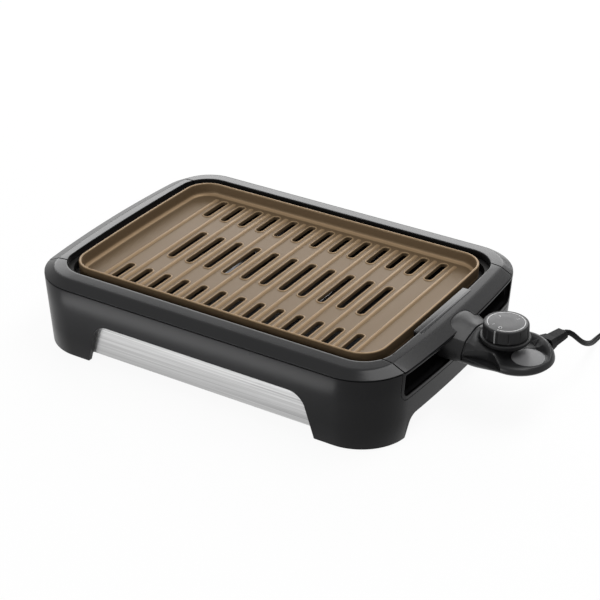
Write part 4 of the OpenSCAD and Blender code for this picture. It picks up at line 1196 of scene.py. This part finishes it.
CAMERA_AT = (0.9845, -1.5243, 1.0588)
CAMERA_TILT = 60.866
CAMERA_TURN = 32.075
CAMERA_LENS = 105.76
# Each lamp: place, target, size and power
LAMPS = {
    "top_box": ((0.65, 0.7, 2.0), (0.65, 0.7, 0), (0.9, 2.0), 30),
    "back_box": ((-1.07, 1.93, 1.0), (0, 0, 0.08), (2.9, 1.02), 34),
    "front_box": ((-0.9, -2.2, 0.9), (0, 0, 0.05), (1.4, 0.8), 20),
    "low_card": ((-0.1, -0.325, 0.002), (-0.1, -0.325, 1), (0.44, 0.11), 1.2),
}
BACKDROP_LIGHT = 0.35
FLOOR_GLOW = 0.93


def make_camera():
    """The camera of the main view"""
    cam = bpy.data.cameras.new("camera")
    cam.lens = CAMERA_LENS
    cam.sensor_width = 36
    cam.clip_end = 20
    obj = linked("camera", cam)
    obj.location = CAMERA_AT
    obj.rotation_euler = (math.radians(CAMERA_TILT), 0, math.radians(CAMERA_TURN))
    bpy.context.scene.camera = obj


def softbox(name, location, target, size, power):
    """A rectangular lamp that faces its target"""
    light = bpy.data.lights.new(name, "AREA")
    light.shape = "RECTANGLE"
    light.size, light.size_y = size
    light.energy = power
    obj = linked(name, light)
    obj.location = location
    direction = Vector(target) - Vector(location)
    obj.rotation_euler = direction.to_track_quat("-Z", "Y").to_euler()
    return obj


def seen_directly(tree):
    """1 for camera, glossy and transmission rays"""
    rays = tree.nodes.new("ShaderNodeLightPath")
    value = rays.outputs["Is Camera Ray"]
    for ray in ("Is Glossy Ray", "Is Transmission Ray"):
        either = tree.nodes.new("ShaderNodeMath")
        either.operation = "MAXIMUM"
        wire(tree, (value, either.inputs[0]), (rays.outputs[ray], either.inputs[1]))
        value = either.outputs[0]
    return value


def make_world():
    """White backdrop that lights the object at a lower level"""
    world = bpy.data.worlds.new("studio")
    world.use_nodes = True
    tree = world.node_tree
    back = tree.nodes["Background"]
    strength = tree.nodes.new("ShaderNodeMapRange")
    strength.inputs["To Min"].default_value = BACKDROP_LIGHT
    back.inputs["Color"].default_value = (1, 1, 1, 1)
    wire(tree, (seen_directly(tree), strength.inputs["Value"]),
         (strength.outputs["Result"], back.inputs["Strength"]))
    bpy.context.scene.world = world


def make_floor():
    """White floor that keeps the object's shadow"""
    deselect()
    bpy.ops.mesh.primitive_plane_add(size=12, location=(0, 0, 0))
    floor = bpy.context.object
    floor.name = "floor"
    mat, tree, shader = new_material("floor", (0.9, 0.9, 0.9), 0.8)
    glow = tree.nodes.new("ShaderNodeEmission")
    mixer = tree.nodes.new("ShaderNodeMixShader")
    share = tree.nodes.new("ShaderNodeMapRange")
    share.inputs["To Max"].default_value = FLOOR_GLOW
    wire(tree, (seen_directly(tree), share.inputs["Value"]),
         (share.outputs["Result"], mixer.inputs[0]), (shader.outputs[0], mixer.inputs[1]),
         (glow.outputs[0], mixer.inputs[2]),
         (mixer.outputs[0], tree.nodes["Material Output"].inputs["Surface"]))
    floor.data.materials.append(mat)


def make_lights():
    """Three softboxes, and a low card before the front wall that the camera does not see"""
    for name, values in LAMPS.items():
        softbox(name, *values).visible_camera = name != "low_card"


# ---------------- operators


def dress_frame():
    """Gives every kept CAD piece its finish"""
    for node, obj in NODES.items():
        obj.data.materials.clear()
        obj.data.materials.append(FINISHES[CAD_FINISHES.get(node, "gloss")])


def built(*names):
    """Stops an operator whose pieces are not in the scene"""
    missing = [name for name in names if name not in bpy.data.objects]
    if missing:
        raise RuntimeError("not made: " + ", ".join(missing))
    return {"FINISHED"}


class GRILL_OT_finishes(bpy.types.Operator):
    """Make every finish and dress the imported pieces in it"""

    bl_idname = "grill.finishes"
    bl_label = "Finishes"

    def execute(self, context):
        GROUPS.update(variation=make_variation(), grain=make_grain())
        FINISHES.update(make_finishes(context.scene.grill_colours))
        dress_frame()
        return {"FINISHED"}


class GRILL_OT_stage(bpy.types.Operator):
    """Set up the camera, the white studio and its lamps"""

    bl_idname = "grill.stage"
    bl_label = "Stage"

    def execute(self, context):
        context.scene.view_settings.view_transform = "Standard"
        make_camera()
        make_world()
        make_floor()
        make_lights()
        return built("camera", "floor")


class GRILL_OT_housing(bpy.types.Operator):
    """Make the moulded base"""

    bl_idname = "grill.housing"
    bl_label = "Base housing"

    def execute(self, context):
        make_housing()
        return built("housing")


class GRILL_OT_rim(bpy.types.Operator):
    """Make the two bezels and the two handles"""

    bl_idname = "grill.rim"
    bl_label = "Rim and handles"

    def execute(self, context):
        make_rim()
        return built("front_rim", "rear_rim", "left_grip", "right_grip")


class GRILL_OT_plate(bpy.types.Operator):
    """Make the slotted cooking plate"""

    bl_idname = "grill.plate"
    bl_label = "Plate"

    def execute(self, context):
        make_plate()
        return built("slotted_plate")


class GRILL_OT_socket(bpy.types.Operator):
    """Make the domed socket of the control"""

    bl_idname = "grill.socket"
    bl_label = "Control socket"

    def execute(self, context):
        make_socket()
        return built("control_socket")


class GRILL_OT_control(bpy.types.Operator):
    """Make the control's shells, screws and nose, the indicator lens and the arrow"""

    bl_idname = "grill.control"
    bl_label = "Control"

    def execute(self, context):
        make_control()
        make_pad()
        make_index()
        return built("control_top", "control_base", "indicator_lens", "index")


class GRILL_OT_knob(bpy.types.Operator):
    """Make the knob with its pointer, dial and collar"""

    bl_idname = "grill.knob"
    bl_label = "Knob"

    def execute(self, context):
        make_knob()
        return built("knob", "pointer", "dial_face", "dial_scale", "knob_collar")


class GRILL_OT_cord(bpy.types.Operator):
    """Make the mains cord and its boot"""

    bl_idname = "grill.cord"
    bl_label = "Cord"

    def execute(self, context):
        make_boot()
        make_cord()
        return built("cord_boot", "mains_cord")


STEPS = (GRILL_OT_finishes, GRILL_OT_stage, GRILL_OT_cord, GRILL_OT_housing, GRILL_OT_rim,
         GRILL_OT_plate, GRILL_OT_socket, GRILL_OT_control, GRILL_OT_knob)


class GRILL_PT_panel(bpy.types.Panel):
    """Grill tools in the sidebar"""

    bl_idname = "GRILL_PT_panel"
    bl_label = "Indoor Grill"
    bl_space_type = "VIEW_3D"
    bl_region_type = "UI"
    bl_category = "Grill"

    def draw(self, context):
        for group in (context.scene.grill_sizes, context.scene.grill_colours):
            for name in group.__annotations__:
                self.layout.prop(group, name)
        for step in STEPS:
            self.layout.operator(step.bl_idname)


CLASSES = (GrillSizes, GrillColours, *STEPS, GRILL_PT_panel)


def register():
    for item in CLASSES:
        bpy.utils.register_class(item)
    bpy.types.Scene.grill_sizes = bpy.props.PointerProperty(type=GrillSizes)
    bpy.types.Scene.grill_colours = bpy.props.PointerProperty(type=GrillColours)


def unregister():
    del bpy.types.Scene.grill_colours
    del bpy.types.Scene.grill_sizes
    for item in reversed(CLASSES):
        bpy.utils.unregister_class(item)


def main():
    """Registers the add-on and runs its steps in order"""
    register()
    bpy.ops.grill.finishes()
    bpy.ops.grill.stage()
    bpy.ops.grill.cord()
    bpy.ops.grill.housing()
    bpy.ops.grill.rim()
    bpy.ops.grill.plate()
    bpy.ops.grill.socket()
    bpy.ops.grill.control()
    bpy.ops.grill.knob()


if __name__ == "__main__":
    main()
